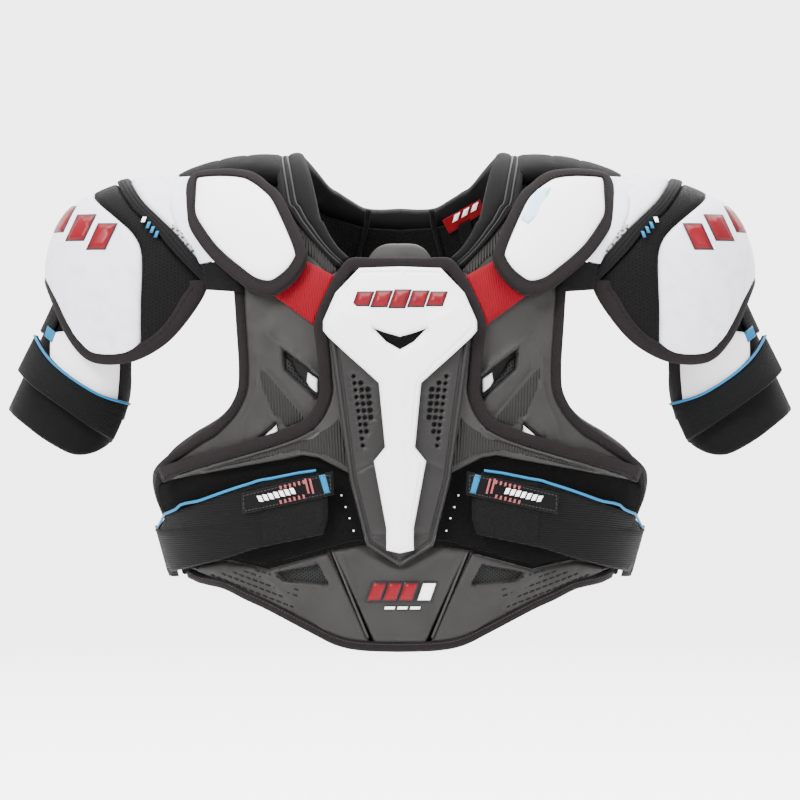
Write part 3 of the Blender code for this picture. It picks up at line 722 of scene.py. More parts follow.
def bind(label, side, path, way, body, node, ink):
    """Edge tape along a border of the torso, with its stitching; way is the side it lies on."""
    settle(tape(label + "_tape" + side, on_body, path, way * BINDING, 0.0, TAPE_TOP, TAPE_CLOTH),
           body, "charcoal_binding_tape", node)
    settle(thread(label + "_stitch" + side, on_body, shifted(path, way * STITCH_IN, False),
                  TAPE_TOP + 0.1, ink), body, "charcoal_binding_tape")


# ---------------------------------------------------------------- finishes
class Finish:
    """One procedural material while its nodes are put together."""

    def __init__(self, name, colour, rough, sheen=0.0, specular=0.4):
        self.material = bpy.data.materials.new(name)
        self.material.use_nodes = True
        self.tree = self.material.node_tree
        self.shader = self.tree.nodes["Principled BSDF"]
        self.shader.inputs["Roughness"].default_value = rough
        self.shader.inputs["Sheen Weight"].default_value = sheen
        self.shader.inputs["Sheen Roughness"].default_value = 0.4
        self.shader.inputs["Specular IOR Level"].default_value = specular
        self.material.diffuse_color = (*colour, 1.0)
        self.shader.inputs["Base Color"].default_value = (*colour, 1.0)
        place = self.tree.nodes.new("ShaderNodeTexCoord")
        self.cloth, self.solid = place.outputs["UV"], place.outputs["Object"]
        self.colour = colour
        self.painted = None
        self.normal = None

    def node(self, kind, **settings):
        made = self.tree.nodes.new(kind)
        for key, value in settings.items():
            setattr(made, key, value)
        return made

    def join(self, output, target):
        self.tree.links.new(output, target)

    def maths(self, operation, a, b=0.0):
        made = self.node("ShaderNodeMath", operation=operation)
        for k, value in enumerate((a, b)):
            if hasattr(value, "is_linked"):
                self.join(value, made.inputs[k])
            else:
                made.inputs[k].default_value = value
        return made.outputs[0]

    def wave(self, across, along, period):
        """A sine from -1 to 1 that runs across the cloth with a period in millimetres."""
        dot = self.node("ShaderNodeVectorMath", operation="DOT_PRODUCT")
        self.join(self.cloth, dot.inputs[0])
        size = 2 * math.pi / (period * MM)
        dot.inputs[1].default_value = (across * size, along * size, 0.0)
        return self.maths("SINE", dot.outputs["Value"])

    def noise(self, grain, detail=2.0):
        made = self.node("ShaderNodeTexNoise")
        made.inputs["Scale"].default_value = 1.0 / (grain * MM)
        made.inputs["Detail"].default_value = detail
        self.join(self.solid, made.inputs["Vector"])
        return made.outputs["Fac"]

    def clip(self, value, low, high, out_low=0.0, out_high=1.0):
        made = self.node("ShaderNodeMapRange")
        self.join(value, made.inputs["Value"])
        for key, number in (("From Min", low), ("From Max", high), ("To Min", out_low),
                            ("To Max", out_high)):
            made.inputs[key].default_value = number
        return made.outputs["Result"]

    def paint(self, share, other):
        """Mixes another colour in by a share from 0 to 1."""
        made = self.node("ShaderNodeMix", data_type="RGBA")
        self.join(share, made.inputs["Factor"])
        if self.painted is None:
            made.inputs["A"].default_value = (*self.colour, 1.0)
        else:
            self.join(self.painted, made.inputs["A"])
        made.inputs["B"].default_value = (*other, 1.0)
        self.painted = made.outputs["Result"]
        self.join(self.painted, self.shader.inputs["Base Color"])

    def relief(self, height, depth):
        """Adds a bump of a depth in millimetres."""
        made = self.node("ShaderNodeBump")
        made.inputs["Strength"].default_value = 1.0
        made.inputs["Distance"].default_value = depth * MM
        self.join(height, made.inputs["Height"])
        if self.normal is not None:
            self.join(self.normal, made.inputs["Normal"])
        self.normal = made.outputs["Normal"]
        self.join(self.normal, self.shader.inputs["Normal"])

    def roughness(self, value, low, high):
        self.join(self.clip(value, 0.3, 0.7, low, high), self.shader.inputs["Roughness"])


def darker(colour, share):
    return tuple(c * share for c in colour)


PLASTIC_GLOSS = 0.16
CLOTH_GLOSS = 0.08


def moulded(name, colour, rough, grain=0.7, depth=0.05, scuff=0.93):
    """Moulded plastic or skinned foam: a fine grain and a slightly uneven gloss."""
    made = Finish(name, colour, rough, 0.0, PLASTIC_GLOSS)
    fine = made.noise(grain, 3.0)
    broad = made.noise(28.0, 2.0)
    made.paint(made.clip(broad, 0.35, 0.75), darker(colour, scuff))
    made.relief(fine, depth)
    made.roughness(broad, rough - 0.06, rough + 0.08)
    return made.material


def ribbed(name, colour, rough, across, along, period, depth):
    """Moulded foam with fine parallel ribs, their troughs painted darker as painted shade."""
    made = Finish(name, colour, rough, 0.0, PLASTIC_GLOSS)
    lines = made.wave(across, along, period)
    # painted shade: the troughs of the ribs are painted darker
    made.paint(made.clip(lines, 0.2, -1.0), darker(colour, 0.55))
    made.relief(lines, depth)
    made.relief(made.noise(0.8, 3.0), 0.05)
    return made.material


def woven(name, colour, rough, across, along, period, depth, sheen=0.02, dark=0.6, fuzz=0.06):
    """Cloth whose threads cross: two sines in the given directions, with a little fuzz; the low gaps
    between the threads are painted darker as painted shade.
    """
    made = Finish(name, colour, rough, sheen, CLOTH_GLOSS)
    weave = made.maths("MULTIPLY", made.wave(*across, period), made.wave(*along, period))
    # painted shade: the gaps between the threads are painted darker; the broad tone on the next line
    # is random
    made.paint(made.clip(weave, 0.1, -0.9), darker(colour, dark))
    made.paint(made.clip(made.noise(11.0, 3.0), 0.45, 0.85), darker(colour, 0.8))
    made.relief(weave, depth)
    made.relief(made.noise(0.35, 2.0), fuzz)
    return made.material


def corded(name, colour, rough, across, along, period, depth, sheen=0.02, dark=0.5):
    """Elastic webbing: ribs one way and a finer weft over them, painted darker in the troughs as
    painted shade.
    """
    made = Finish(name, colour, rough, sheen, CLOTH_GLOSS)
    ribs = made.wave(across, along, period)
    weft = made.wave(along, across, period * 0.55)
    both = made.maths("ADD", ribs, made.maths("MULTIPLY", weft, 0.35))
    # painted shade: the troughs between the ribs are painted darker
    made.paint(made.clip(both, 0.3, -1.2), darker(colour, dark))
    made.relief(both, depth)
    made.relief(made.noise(0.5, 2.0), 0.05)
    return made.material


def netted(name, colour, hole, rough, period, depth):
    """Spacer mesh: six-sided openings from three crossing sines, painted in a dark colour as painted
    shade inside them.
    """
    made = Finish(name, colour, rough, 0.01, CLOTH_GLOSS)
    half = math.sqrt(3) / 2
    sides = [made.wave(x, y, period) for x, y in ((1.0, 0.0), (0.5, half), (-0.5, half))]
    total = made.maths("ADD", made.maths("ADD", sides[0], sides[1]), sides[2])
    opening = made.clip(total, 0.1, 1.1)
    # painted shade: the openings are painted in the dark hole colour
    made.paint(opening, hole)
    made.relief(made.maths("MULTIPLY", opening, -1.0), depth)
    made.relief(made.noise(0.4, 2.0), 0.04)
    return made.material


def piled(name, colour):
    """Loop pile that hook tape grips: a dense fuzz, painted lighter on its raised loops as a painted
    highlight.
    """
    made = Finish(name, colour, 1.0, 0.0, 0.03)
    loops = made.noise(0.7, 4.0)
    # painted highlight: the raised loops are painted lighter
    made.paint(made.clip(loops, 0.4, 0.7), darker(colour, 2.2))
    made.relief(loops, 0.35)
    made.relief(made.noise(6.0, 3.0), 0.25)
    return made.material


def twisted(name, colour, period, depth):
    made = Finish(name, colour, 0.6, 0.05, 0.2)
    turns = made.wave(1.0, 0.35, period)
    # painted shade: the troughs of the twist are painted darker
    made.paint(made.clip(turns, 0.0, -1.0), darker(colour, 0.45))
    made.relief(turns, depth)
    return made.material


WHITE = moulded("white_shell", (0.74, 0.74, 0.745), 0.42, 0.9, 0.035, 0.97)
FLOAT_WHITE = moulded("white_pad_skin", (0.74, 0.74, 0.74), 0.5, 1.1, 0.06, 0.97)
CAP_WHITE = woven("white_cap_cloth", (0.60, 0.60, 0.66), 0.75, (1, 0), (0, 1), 1.1, 0.05,
                  0.1, 0.93, 0.03)
FOAM = moulded("grey_foam", (0.0165, 0.0157, 0.0150), 0.58, 0.8, 0.07, 0.85)
# painted highlight: a lighter copy of the grey foam, used on the yoke panel and the belly seam rolls
FOAM_HIGHLIT = moulded("grey_foam_painted_highlight", (0.0205, 0.0195, 0.0185), 0.5, 0.8, 0.05, 0.9)
FOAM_RIBBED = ribbed("grey_foam_ribs", (0.013, 0.0123, 0.0117), 0.6, 1.0, 0.0, 2.3, 0.35)
CARRIER = moulded("grey_carrier", (0.0125, 0.0118, 0.0116), 0.45, 0.7, 0.03, 0.9)
# painted shade: a near-black for the bottom of the vents, behind the sternum frame's holes and in the
# belly dashes
RECESS_SHADE_BLACK = moulded("black_recess_painted_shade", (0.002, 0.002, 0.002), 0.7, 0.7, 0.05, 0.9)
LINER = netted("liner_mesh", (0.0024, 0.0024, 0.0025), (0.001, 0.001, 0.001), 0.9, 2.6, 0.3)
VENT_MESH = netted("vent_mesh", (0.014, 0.014, 0.0145), (0.001, 0.001, 0.001), 0.7, 2.2, 0.3)
CAP_MESH = netted("cap_mesh", (0.0022, 0.0019, 0.0020), (0.0006, 0.0006, 0.0006), 0.75, 1.6, 0.3)
PALE_MESH = netted("pale_mesh", (0.26, 0.26, 0.28), (0.05, 0.05, 0.055), 0.7, 2.3, 0.3)
CAP_BLACK = woven("black_cap_cloth", (0.0034, 0.0030, 0.0032), 0.85, (1, 1), (1, -1), 1.6, 0.12)
SEAM_BLACK = corded("black_seam_band", (0.0044, 0.0040, 0.0042), 0.8, 0.0, 1.0, 2.0, 0.2)
SOFT_BLACK = woven("black_pad_cloth", (0.0028, 0.0025, 0.0027), 0.85, (1, 0), (0, 1), 1.3, 0.1)
TAPE_CLOTH = woven("binding_tape", (0.0085, 0.0067, 0.0070), 0.8, (1, 1), (1, -1), 1.0, 0.1)
ELASTIC = corded("black_elastic_web", (0.0029, 0.0029, 0.0031), 0.8, 0.0, 1.0, 1.7, 0.16)
PILE = piled("loop_pile", (0.0022, 0.0022, 0.0022))
HOOK = piled("hook_patch", (0.004, 0.004, 0.004))
RED = corded("red_stretch", (0.12, 0.0, 0.004), 0.65, 1.0, 0.15, 1.9, 0.12, 0.05, 0.75)
LABEL = woven("label_cloth", (0.15, 0.001, 0.004), 0.7, (1, 0), (0, 1), 0.9, 0.06)
BLUE_CORD = twisted("blue_piping", (0.0005, 0.09, 0.20), 3.0, 0.55)
EDGE_CORD = twisted("collar_piping", (0.008, 0.0075, 0.0078), 2.4, 0.2)
THREAD_DARK = moulded("dark_thread", (0.004, 0.0036, 0.004), 0.8)
THREAD_GREY = moulded("grey_thread", (0.03, 0.028, 0.028), 0.8)
PRINT_RED = moulded("red_print", (0.12, 0.0005, 0.005), 0.4, 1.5, 0.02, 0.8)
PRINT_BLACK = moulded("black_print", (0.012, 0.011, 0.012), 0.45, 1.5, 0.02)
PRINT_WHITE = moulded("white_print", (0.78, 0.78, 0.79), 0.5, 1.5, 0.02, 0.97)
PRINT_BLUE = moulded("blue_print", (0.001, 0.10, 0.21), 0.45, 1.5, 0.02, 0.9)
PRINT_PINK = moulded("pink_print", (0.20, 0.045, 0.05), 0.5, 1.5, 0.02, 0.9)


# ---------------------------------------------------------------- relief helpers
def line(pts, path, width, height):
    """A rounded ridge (or groove when negative) along a path."""
    return height * np.exp(-(away_from(pts, [path], False) / width) ** 2)


def raised(pts, loop, height, run):
    """A plateau inside an outline, with a bevel of the given run."""
    gap = away_from(pts, [loop])
    return np.where(inside(pts, [loop]), height * np.clip(gap / run, 0, 1), 0.0)


def on(points, s=1, d=15.0, step=4.0, behind=False):
    """A straight-sided outline seen from the front, as run coordinates."""
    return seen(dense(points, step), s, d, behind)


def run(points, s=1, d=15.0, behind=False):
    """The same for an open path."""
    return seen(dense(points, 4.0, False), s, d, behind)


def curve(points, s=1, d=16.0, behind=False):
    """The smooth open curve through points, as run coordinates."""
    return seen(smooth(points, 4.0, False), s, d, behind)


MARK_SINK = 0.4
BAR_PITCH = 1.28
BAR_RISE = 0.25


def mark(name, form, loop, d, finish, body, slot, thick=0.35, step=5.0):
    """A printed or moulded-on shape: a thin raised sheet."""
    made = pad(name, form, [dense(loop, step)], d - MARK_SINK, d + thick, finish, 4.0, 0.4, 0.6,
               steps=())
    return settle(made, body, slot)


BINDING = 8.0
STITCH_IN = 6.4
TAPE_TOP = 16.4
OVERLAP = 1.5
LINER_OUT = 6.2
FOAM_IN = 7.2
ARMHOLE = [(157, 356), (145, 330), (136, 300), (132.5, 261), (130.5, 226), (133, 207), (146, 188),
           (172, 170), (192, 156), (201, 146), (202, 136), (199, 122), (193, 106), (187, 86),
           (181, 68)]
NECK_EDGE = [(48, 309), (61, 321), (75, 336), (88, 353), (97, 367)]
FRAME_EDGE = [(0, 317), (20, 317), (39, 317), (48, 309), (58, 292), (68.5, 266), (67, 245),
              (65, 222), (65, 207), (75, 189), (98, 178), (122, 170.5), (157, 160.5), (186, 151.5),
              (195, 148)]

# ---------------------------------------------------------------- chest
for side_name, s in SIDES:
    edge = curve(ARMHOLE, s)
    bind("armhole", "_" + side_name, edge, -s, "vest", "armhole_binding_" + side_name, THREAD_DARK)
    neck = curve(NECK_EDGE, s, 18.0)
    under = shifted(edge, -s * (BINDING - OVERLAP), False)
    under = under[under[:, 1] > 152]
    top = dense([(s * 116, 394), (s * 160, 394)], 5.0, False)
    foot = run([(172, 153), (141, 158), (80, 165), (34, 168), (34, 240), (34, 296)], s)
    vent = on([(94, 243), (65, 221), (65, 203), (93, 228)], s, step=3.0)
    notch = on([(99.5, 184), (97.5, 175), (114, 170.5)], s, step=3.0)
    lip = run([(105, 254), (65, 224)], s)
    groove = run([(105, 227), (73, 188)], s)
    ridge = run([(114, 237), (114, 217), (98, 179)], s)
    fold = run([(114, 216), (126, 185), (127, 170)], s)
    facet = on([(115.5, 236), (105, 224), (73, 186), (97, 177), (115.5, 213)], s)
    recess = on([(100, 272), (107, 283), (121, 284), (118, 274), (104, 268)], s)
    edge_bar = shifted(edge, -s * (BINDING + 5.0), False)

    def chest_shape(pts, lip=lip, groove=groove, ridge=ridge, fold=fold, facet=facet,
                    recess=recess, edge_bar=edge_bar, vent=vent, notch=notch):
        out = line(pts, lip, 1.8, 2.0) + line(pts, groove, 1.6, -2.4)
        out += line(pts, ridge, 1.5, 1.7) + line(pts, fold, 1.7, 1.5)
        out += raised(pts, facet, -1.0, 2.0) + raised(pts, recess, -2.4, 3.0)
        out += line(pts, edge_bar, 1.6, -1.5)
        rim = away_from(pts, [vent, notch])
        return out + 2.0 * np.exp(-((rim - 2.2) / 1.6) ** 2)

    settle(pad("chest_foam_" + side_name, on_body,
               [np.vstack([neck, top, under, foot]), vent, notch], FOAM_IN, 15.0, FOAM, 5.5,
               relief=chest_shape, creases=[lip, groove, ridge, fold]),
           "vest", "grey_moulded_foam", "chest_panel_" + side_name)
    settle(pad("chest_facet_" + side_name, on_body, [inset(facet, 1.0)], 13.0, 14.6,
               FOAM_RIBBED, 6.0, 0.8), "vest", "grey_moulded_foam")
    # painted shade: a near-black sheet at the bottom of the vent
    settle(pad("vent_shade_sheet_" + side_name, on_body,
               [on([(100, 250), (58, 225), (58, 196), (98, 226)], s, 8.0)], LINER_OUT, 7.6,
               RECESS_SHADE_BLACK, 7.0, 0.8), "vest", "black_liner_mesh")
    wall = on([(93, 237), (93, 227), (64, 201), (64, 206), (73, 213.5), (84, 226), (88, 235)], s,
              12.0, 3.0)
    settle(pad("vent_wall_" + side_name, on_body, [wall], 8.0, 11.6, VENT_MESH, 4.0, 2.6),
           "vest", "grey_moulded_foam")
    for label, depth, shape in (
            ("upper", 7.4, [(74, 225), (66.5, 220), (66.5, 208), (71.5, 211), (75, 218)]),
            ("lower", 12.0, [(99.3, 183), (98, 175.5), (113, 171)])):
        shape = on(shape, s, depth + 1.0, 3.0)
        settle(pad("vent_" + label + "_light_" + side_name, on_body, [shape], depth, depth + 1.2,
                   PRINT_WHITE, 6.0, 0.6), "vest", "white_moulded_shell")
    shoulder_strip = on([(49, 307), (62, 323), (76, 338), (87, 355), (94, 366), (96, 352), (84, 326),
                         (70, 316), (57, 302)], s, 15.0)
    settle(pad("clavicle_ribs_" + side_name, on_body, [shoulder_strip], 13.6, 15.7, FOAM_RIBBED,
               5.0, 1.0), "vest", "grey_moulded_foam")
    stretch = on([(80, 318), (52, 303), (69, 263), (103, 288)], s, 19.5)
    folds = [run([(84.0 + k * 4.5, 306.0 - k * 5.2), (66.0 + k * 4.5, 296.0 - k * 8.0)], s, 19.5)
             for k in range(3)]

    def stretch_shape(pts, folds=folds):
        out = 0.25 * np.sin(pts[:, 0] * 0.9)
        for path in folds:
            out += line(pts, path, 2.4, 1.0)
        return out

    settle(pad("clavicle_cloth_" + side_name, on_body, [stretch], 16.6, 19.4, RED, 5.0,
               relief=stretch_shape), "vest", "red_stretch_fabric", "clavicle_stretch_" + side_name)

# ---------------------------------------------------------------- yoke
YOKE_TOP = 23.0
yoke_right = curve(FRAME_EDGE, 1, 21.0)
yoke = np.vstack([flip(yoke_right[1:]), yoke_right])
settle(tape("yoke_tape", on_body, yoke, -9.6, 15.0, YOKE_TOP, TAPE_CLOTH), "vest",
       "charcoal_binding_tape", "yoke_binding")
settle(thread("yoke_stitch", on_body, shifted(yoke, -8.2, False), YOKE_TOP + 0.1, THREAD_DARK),
       "vest", "charcoal_binding_tape")
rib_top = shifted(yoke, -9.0, False)
rib_top = rib_top[np.abs(rib_top[:, 0]) < 226]
rib_foot = run([(194, 136.5), (143, 146.5), (95, 155), (78, 158.5), (66, 156.5), (40, 143.5),
                (0, 128)], 1, 20.0)
rib_low = np.vstack([rib_foot, flip(rib_foot)[1:]])
lip_line = shifted(yoke, -13.4, False)
lip_line = lip_line[(np.abs(lip_line[:, 0]) < 205) & (lip_line[:, 1] < 200)]
lip_sides = [lip_line[lip_line[:, 0] > 60], lip_line[lip_line[:, 0] < -60]]
foot_sides = [run([(178, 142.5), (143, 149.5), (95, 158), (80, 161.5), (62, 158.5), (40, 146.5)],
                  s, 20.0) for s in (1, -1)]
yoke_folds = [run([(63, 178), (45, 157)], s, 20.0) for s in (1, -1)]
yoke_loop = np.vstack([rib_top, rib_low])


def yoke_shape(pts):
    out = 1.2 * np.exp(-((away_from(pts, [yoke_loop]) - 1.8) / 1.3) ** 2)
    for path in lip_sides + foot_sides:
        out += line(pts, path, 1.2, -1.9)
    for path in yoke_folds:
        out += line(pts, path, 1.3, -1.6)
    return out


# painted highlight: the yoke panel is in the lighter copy of the grey foam
settle(pad("yoke_foam", on_body, [yoke_loop], 15.0, 20.6, FOAM_HIGHLIT, 5.5,
           relief=yoke_shape, creases=lip_sides + foot_sides),
       "vest", "grey_moulded_foam", "rib_panel")
for side_name, s in SIDES:
    strip = on([(48.5, 191), (53.5, 185), (70, 173), (98, 164.5), (130, 155), (140, 151.5),
                (138, 150.5), (126, 152.8), (98, 158.3), (81, 162.2), (61, 159), (39, 147)],
               s, 20.0)
    settle(pad("yoke_ribs_" + side_name, on_body, [strip], 18.4, 20.9, FOAM_RIBBED, 6.0, 1.0),
           "vest", "grey_moulded_foam")

# ---------------------------------------------------------------- loop band across the ribs
armhole = curve(ARMHOLE)
belt_side = shifted(armhole, OVERLAP - BINDING, False)
belt_side = belt_side[(belt_side[:, 1] > 80) & (belt_side[:, 1] < 140)]
belt_top = run([(0, 163), (34, 163), (80, 163), (140, 158), (186, 147)], 1)
belt_low = run([(166, 70), (145, 76), (109, 69.5), (59, 83.5), (40, 89), (0, 92)], 1)
settle(pad("loop_belt", on_body, [whole(np.vstack([belt_top, belt_side, belt_low]))], FOAM_IN, 14.6,
           PILE, 6.5, 2.5), "vest", "black_loop_pile", "loop_band")

for side_name, s in SIDES:
    for k, (x, z) in enumerate(((47, 126.5), (43.7, 117), (40.5, 108), (37.3, 98))):
        settle(pad("belt_eyelet_%d_%s" % (k + 1, side_name), on_body, [seen(circle(x, z, 0.8), s)],
                   13.8, 16.4, PRINT_WHITE, 4.0, 0.3, steps=()), "vest", "black_loop_pile")

# ---------------------------------------------------------------- sternum
CARRIER_TOP = 27.0
carrier_loop = whole(run([(0, 300), (30, 300), (48, 283), (56, 262), (56, 248), (41, 139.5),
                          (27, 86), (0, 69)], 1, CARRIER_TOP))
holes = []
for column, (count, lean, radius) in enumerate(((11, 0.74, 1.1), (8, 0.64, 1.45), (5, 0.55, 1.7))):
    for row in range(count):
        for s in (1, -1):
            x, z = 37.2 - 5.8 * column - lean * row, 222.0 - 5.3 * column - 5.55 * row
            holes.append(seen(circle(x, z, radius), s, CARRIER_TOP))
frame_cuts = [run(path, s, CARRIER_TOP) for s in (1, -1) for path in
              ([(33, 147), (21, 153)], [(23, 95), (10, 95)])]


def carrier_shape(pts):
    rim = away_from(pts, [carrier_loop])
    out = 1.7 * np.exp(-((rim - 2.4) / 1.3) ** 2) - 1.2 * np.exp(-((rim - 5.2) / 1.0) ** 2)
    for path in frame_cuts:
        out += line(pts, path, 1.2, -1.3)
    return out


settle(pad("sternum_frame", on_body, [carrier_loop] + holes, 23.2, CARRIER_TOP, CARRIER, 5.5, 1.2,
           relief=carrier_shape, creases=frame_cuts + [inset(carrier_loop, k) for k in
                                                       (2.4, 4.2, 5.2, 6.2)],
           steps=(1.2,)), "sternum", "dark_grey_plastic", "sternum_carrier")
# painted shade: a near-black sheet behind the holes of the sternum frame
settle(pad("sternum_hole_shade", on_body, [inset(carrier_loop, 5.0)], 22.4, 23.2, RECESS_SHADE_BLACK,
           9.0, 0.6), "sternum", "dark_grey_plastic")
plate_loop = whole(run([(0, 311), (33, 310), (52, 290), (62, 267), (62, 259), (58, 254), (42, 239),
                        (17, 216.5), (12, 165), (21, 154), (11, 100), (11, 82.5), (0, 80)], 1, 34.0))
slit = on([(21.6, 261), (12, 257.4), (0, 254), (-12, 257.4), (-21.6, 261), (-11, 250), (0, 243.6),
           (11, 250)], 1, 34.0, 3.0)
plate_folds = []
for s in (1, -1):
    plate_folds.append(run([(44, 274), (22, 264)], s, 34.0))
    plate_folds.append(run([(8, 238), (5, 160), (9, 150), (4, 92)], s, 34.0))


def plate_shape(pts):
    out = line(pts, plate_folds[0], 2.2, 1.5) + line(pts, plate_folds[2], 2.2, 1.5)
    out += line(pts, plate_folds[1], 1.8, -1.1) + line(pts, plate_folds[3], 1.8, -1.1)
    return out - 1.3 * np.exp(-((away_from(pts, [plate_loop]) - 3.4) / 0.8) ** 2)


settle(pad("sternum_plate", on_body, [plate_loop, slit], 28.6, 33.6, WHITE, 5.0, 3.2, 0.2,
           1.6, 13.0, plate_shape, plate_folds + [inset(plate_loop, k) for k in (2.3, 3.4, 4.5)]),
       "sternum", "white_moulded_shell", "sternum_cap")
settle(pad("sternum_slit", on_body, [on([(24, 266), (-24, 266), (-18, 244), (0, 238), (18, 244)],
                                        1, 29.0)], 27.4, 29.0, PILE, 6.0, 0.8),
       "sternum", "dark_grey_plastic")

# ---------------------------------------------------------------- belly
HEM = [(172, 57), (160, 53), (143, 49.5), (125, 41), (107, 33), (72, 15), (51, 5), (30, 1), (0, 0)]
hem_right = curve(HEM)
bind("hem", "", mirrored(hem_right), -1, "belly", "belly_binding", THREAD_GREY)
under = shifted(hem_right, OVERLAP - BINDING, False)
inset_hem = under[(under[:, 0] > 0.5) & (under[:, 0] < 190)]


def height_at(path, x):
    order = np.argsort(path[:, 0])
    return float(np.interp(x, path[order, 0], path[order, 1]))


for side_name, s in SIDES:
    low = under[(under[:, 0] > 33) & (under[:, 0] < 188)]
    low = np.vstack([low, [(31.6, height_at(under, 31.6))]])
    top = run([(58.0, 80), (109, 66), (143, 72.5), (174, 67)], 1)
    wing = dense(np.vstack([top, low]) * (s, 1), 5.0)
    hole = on([(99, 63.5), (66, 70), (58.5, 55), (95, 58.5)], s, step=3.0)
    # painted shadow: the slanted dashes on the belly are near-black stitches that stand for the shade
    # in them
    dash_shadows = [run([(162 - 9 * k, 60.5 + 1.2 * k), (84 - 1.0 * k, 30.5 + 4.8 * k)], s)
              for k in range(6)]
    brow = run([(112, 64), (101, 55.5), (78, 33), (60, 18)], s)

    def wing_shape(pts, hole=hole, brow=brow):
        rim = away_from(pts, [hole])
        return 1.9 * np.exp(-((rim - 2.2) / 1.4) ** 2) + line(pts, brow, 1.8, 1.4)

    settle(pad("belly_foam_" + side_name, on_body, [wing, hole], FOAM_IN, 15.2, FOAM, 5.0,
               relief=wing_shape, creases=[brow]),
           "belly", "grey_moulded_foam", "belly_wing_" + side_name)
    for k, path in enumerate(dash_shadows):
        settle(thread("belly_dash_row_%d_%s" % (k + 1, side_name), on_body, path, 15.4,
                      RECESS_SHADE_BLACK, 6.4, 4.6, 0.6), "belly", "grey_moulded_foam")
    settle(pad("belly_vent_mesh_" + side_name, on_body,
               [on([(103, 66), (63, 73), (55, 52), (98, 55)], s, 10.0)], 8.0, 11.0, VENT_MESH,
               5.0, 1.0), "belly", "black_liner_mesh")
low = under[(under[:, 0] > 0.5) & (under[:, 0] < 25)]
middle = np.vstack([run([(0, 87), (30, 86), (56.4, 81.5)], 1), [(27.4, height_at(under, 29.0))],
                    low])
middle_loop = dense(whole(middle), 5.0)
chin_half = run([(0, 66), (7.5, 68), (38, 84.5)], 1)
chin = np.vstack([flip(chin_half)[:-1], chin_half])
tip_rest = whole(run([(0, 68), (6, 70), (34, 85), (34, 92), (0, 92)], 1))
shield = whole(run([(0, 63), (8, 65), (36, 80), (46, 79), (25.5, 17), (21, 14), (0, 12.5)], 1))


def middle_shape(pts):
    out = line(pts, chin, 1.6, 0.9) + raised(pts, shield, -1.1, 2.0)
    return out + raised(pts, tip_rest, -3.0, 4.0)


settle(pad("belly_middle", on_body, [middle_loop], FOAM_IN, 15.4, FOAM, 5.0, relief=middle_shape,
           creases=[chin, shield]), "belly", "grey_moulded_foam", "belly_centre")
backing = np.vstack([run([(0, 86), (57, 79), (109, 65), (144, 71.5), (175, 66)], 1), inset_hem])
settle(pad("belly_backing", on_body, [whole(backing)], 3.0, 6.8, LINER, 9.0, 2.0), "belly",
       "black_liner_mesh")
for side_name, s in SIDES:
    seam = [run([(x + 0.7, 81.5), (x - 28.2, 11.0)], s) for x in (58.4, 55.8)]
    settle(band("belly_seam_" + side_name, on_body, evened(seam[0], 24), evened(seam[1], 24),
                9.0, 13.6, TAPE_CLOTH), "belly", "grey_moulded_foam")
    settle(thread("belly_seam_stitch_" + side_name, on_body,
                  run([(57.4, 80), (29.6, 13)], s), 13.8, THREAD_GREY, 3.0, 1.8), "belly",
           "grey_moulded_foam")
    # painted highlight: the seam rolls are in the lighter copy of the grey foam
    settle(cord_line("belly_seam_roll_" + side_name, on_body, run([(54.0, 81), (25.8, 12)], s),
                     14.8, 1.1, FOAM_HIGHLIT), "belly", "grey_moulded_foam")


def bars(name, form, place, middle, count, size, slant, body, slot, d, outline=1.2, fade=0.0,
         drop=0.0, finish=PRINT_RED):
    """A row of slanted bars with a dark edge: the plain mark that stands where a maker's sign
    would be."""
    wide, high = size
    for k in range(count):
        off = (k - (count - 1) / 2) * wide * BAR_PITCH
        x, z = middle[0] + off, middle[1] + drop * off
        tall = high * (1 - fade * abs(off) / max(wide * count / 2, 1e-6))
        for grow, ink, rise in ((outline, PRINT_BLACK, 0.0), (0.0, finish, BAR_RISE)):
            half, up = wide / 2 + grow, tall / 2 + grow
            lean = slant * up
            corners = [(x - half - lean, z - up), (x + half - lean, z - up),
                       (x + half + lean, z + up), (x - half + lean, z + up)]
            label = "%s_%s_%d" % (name, "edge" if grow else "bar", k + 1)
            mark(label, form, place(corners), d + rise, ink, body, slot, 0.2, 3.0)


bars("sternum_mark", on_body, lambda c: on(c, 1, 36.0, 2.5), (0, 284), 5, (11.5, 13.0), 0.35,
     "sternum", "white_moulded_shell", 35.5, fade=0.25)
for label, middle, count, size, outline, ink in (
        ("belly_mark", (-6, 49), 3, (10.0, 13.5), 1.2, PRINT_RED),
        ("belly_mark_pale", (21.5, 49), 1, (10.0, 13.5), 1.2, PRINT_WHITE),
        ("belly_dash", (2, 36), 3, (8.0, 2.2), 0.3, PRINT_WHITE)):
    bars(label, on_body, lambda c: on(c, 1, 16.0, 2.5), middle, count, size, 0.35, "belly",
         "grey_moulded_foam", 15.9, outline, finish=ink)

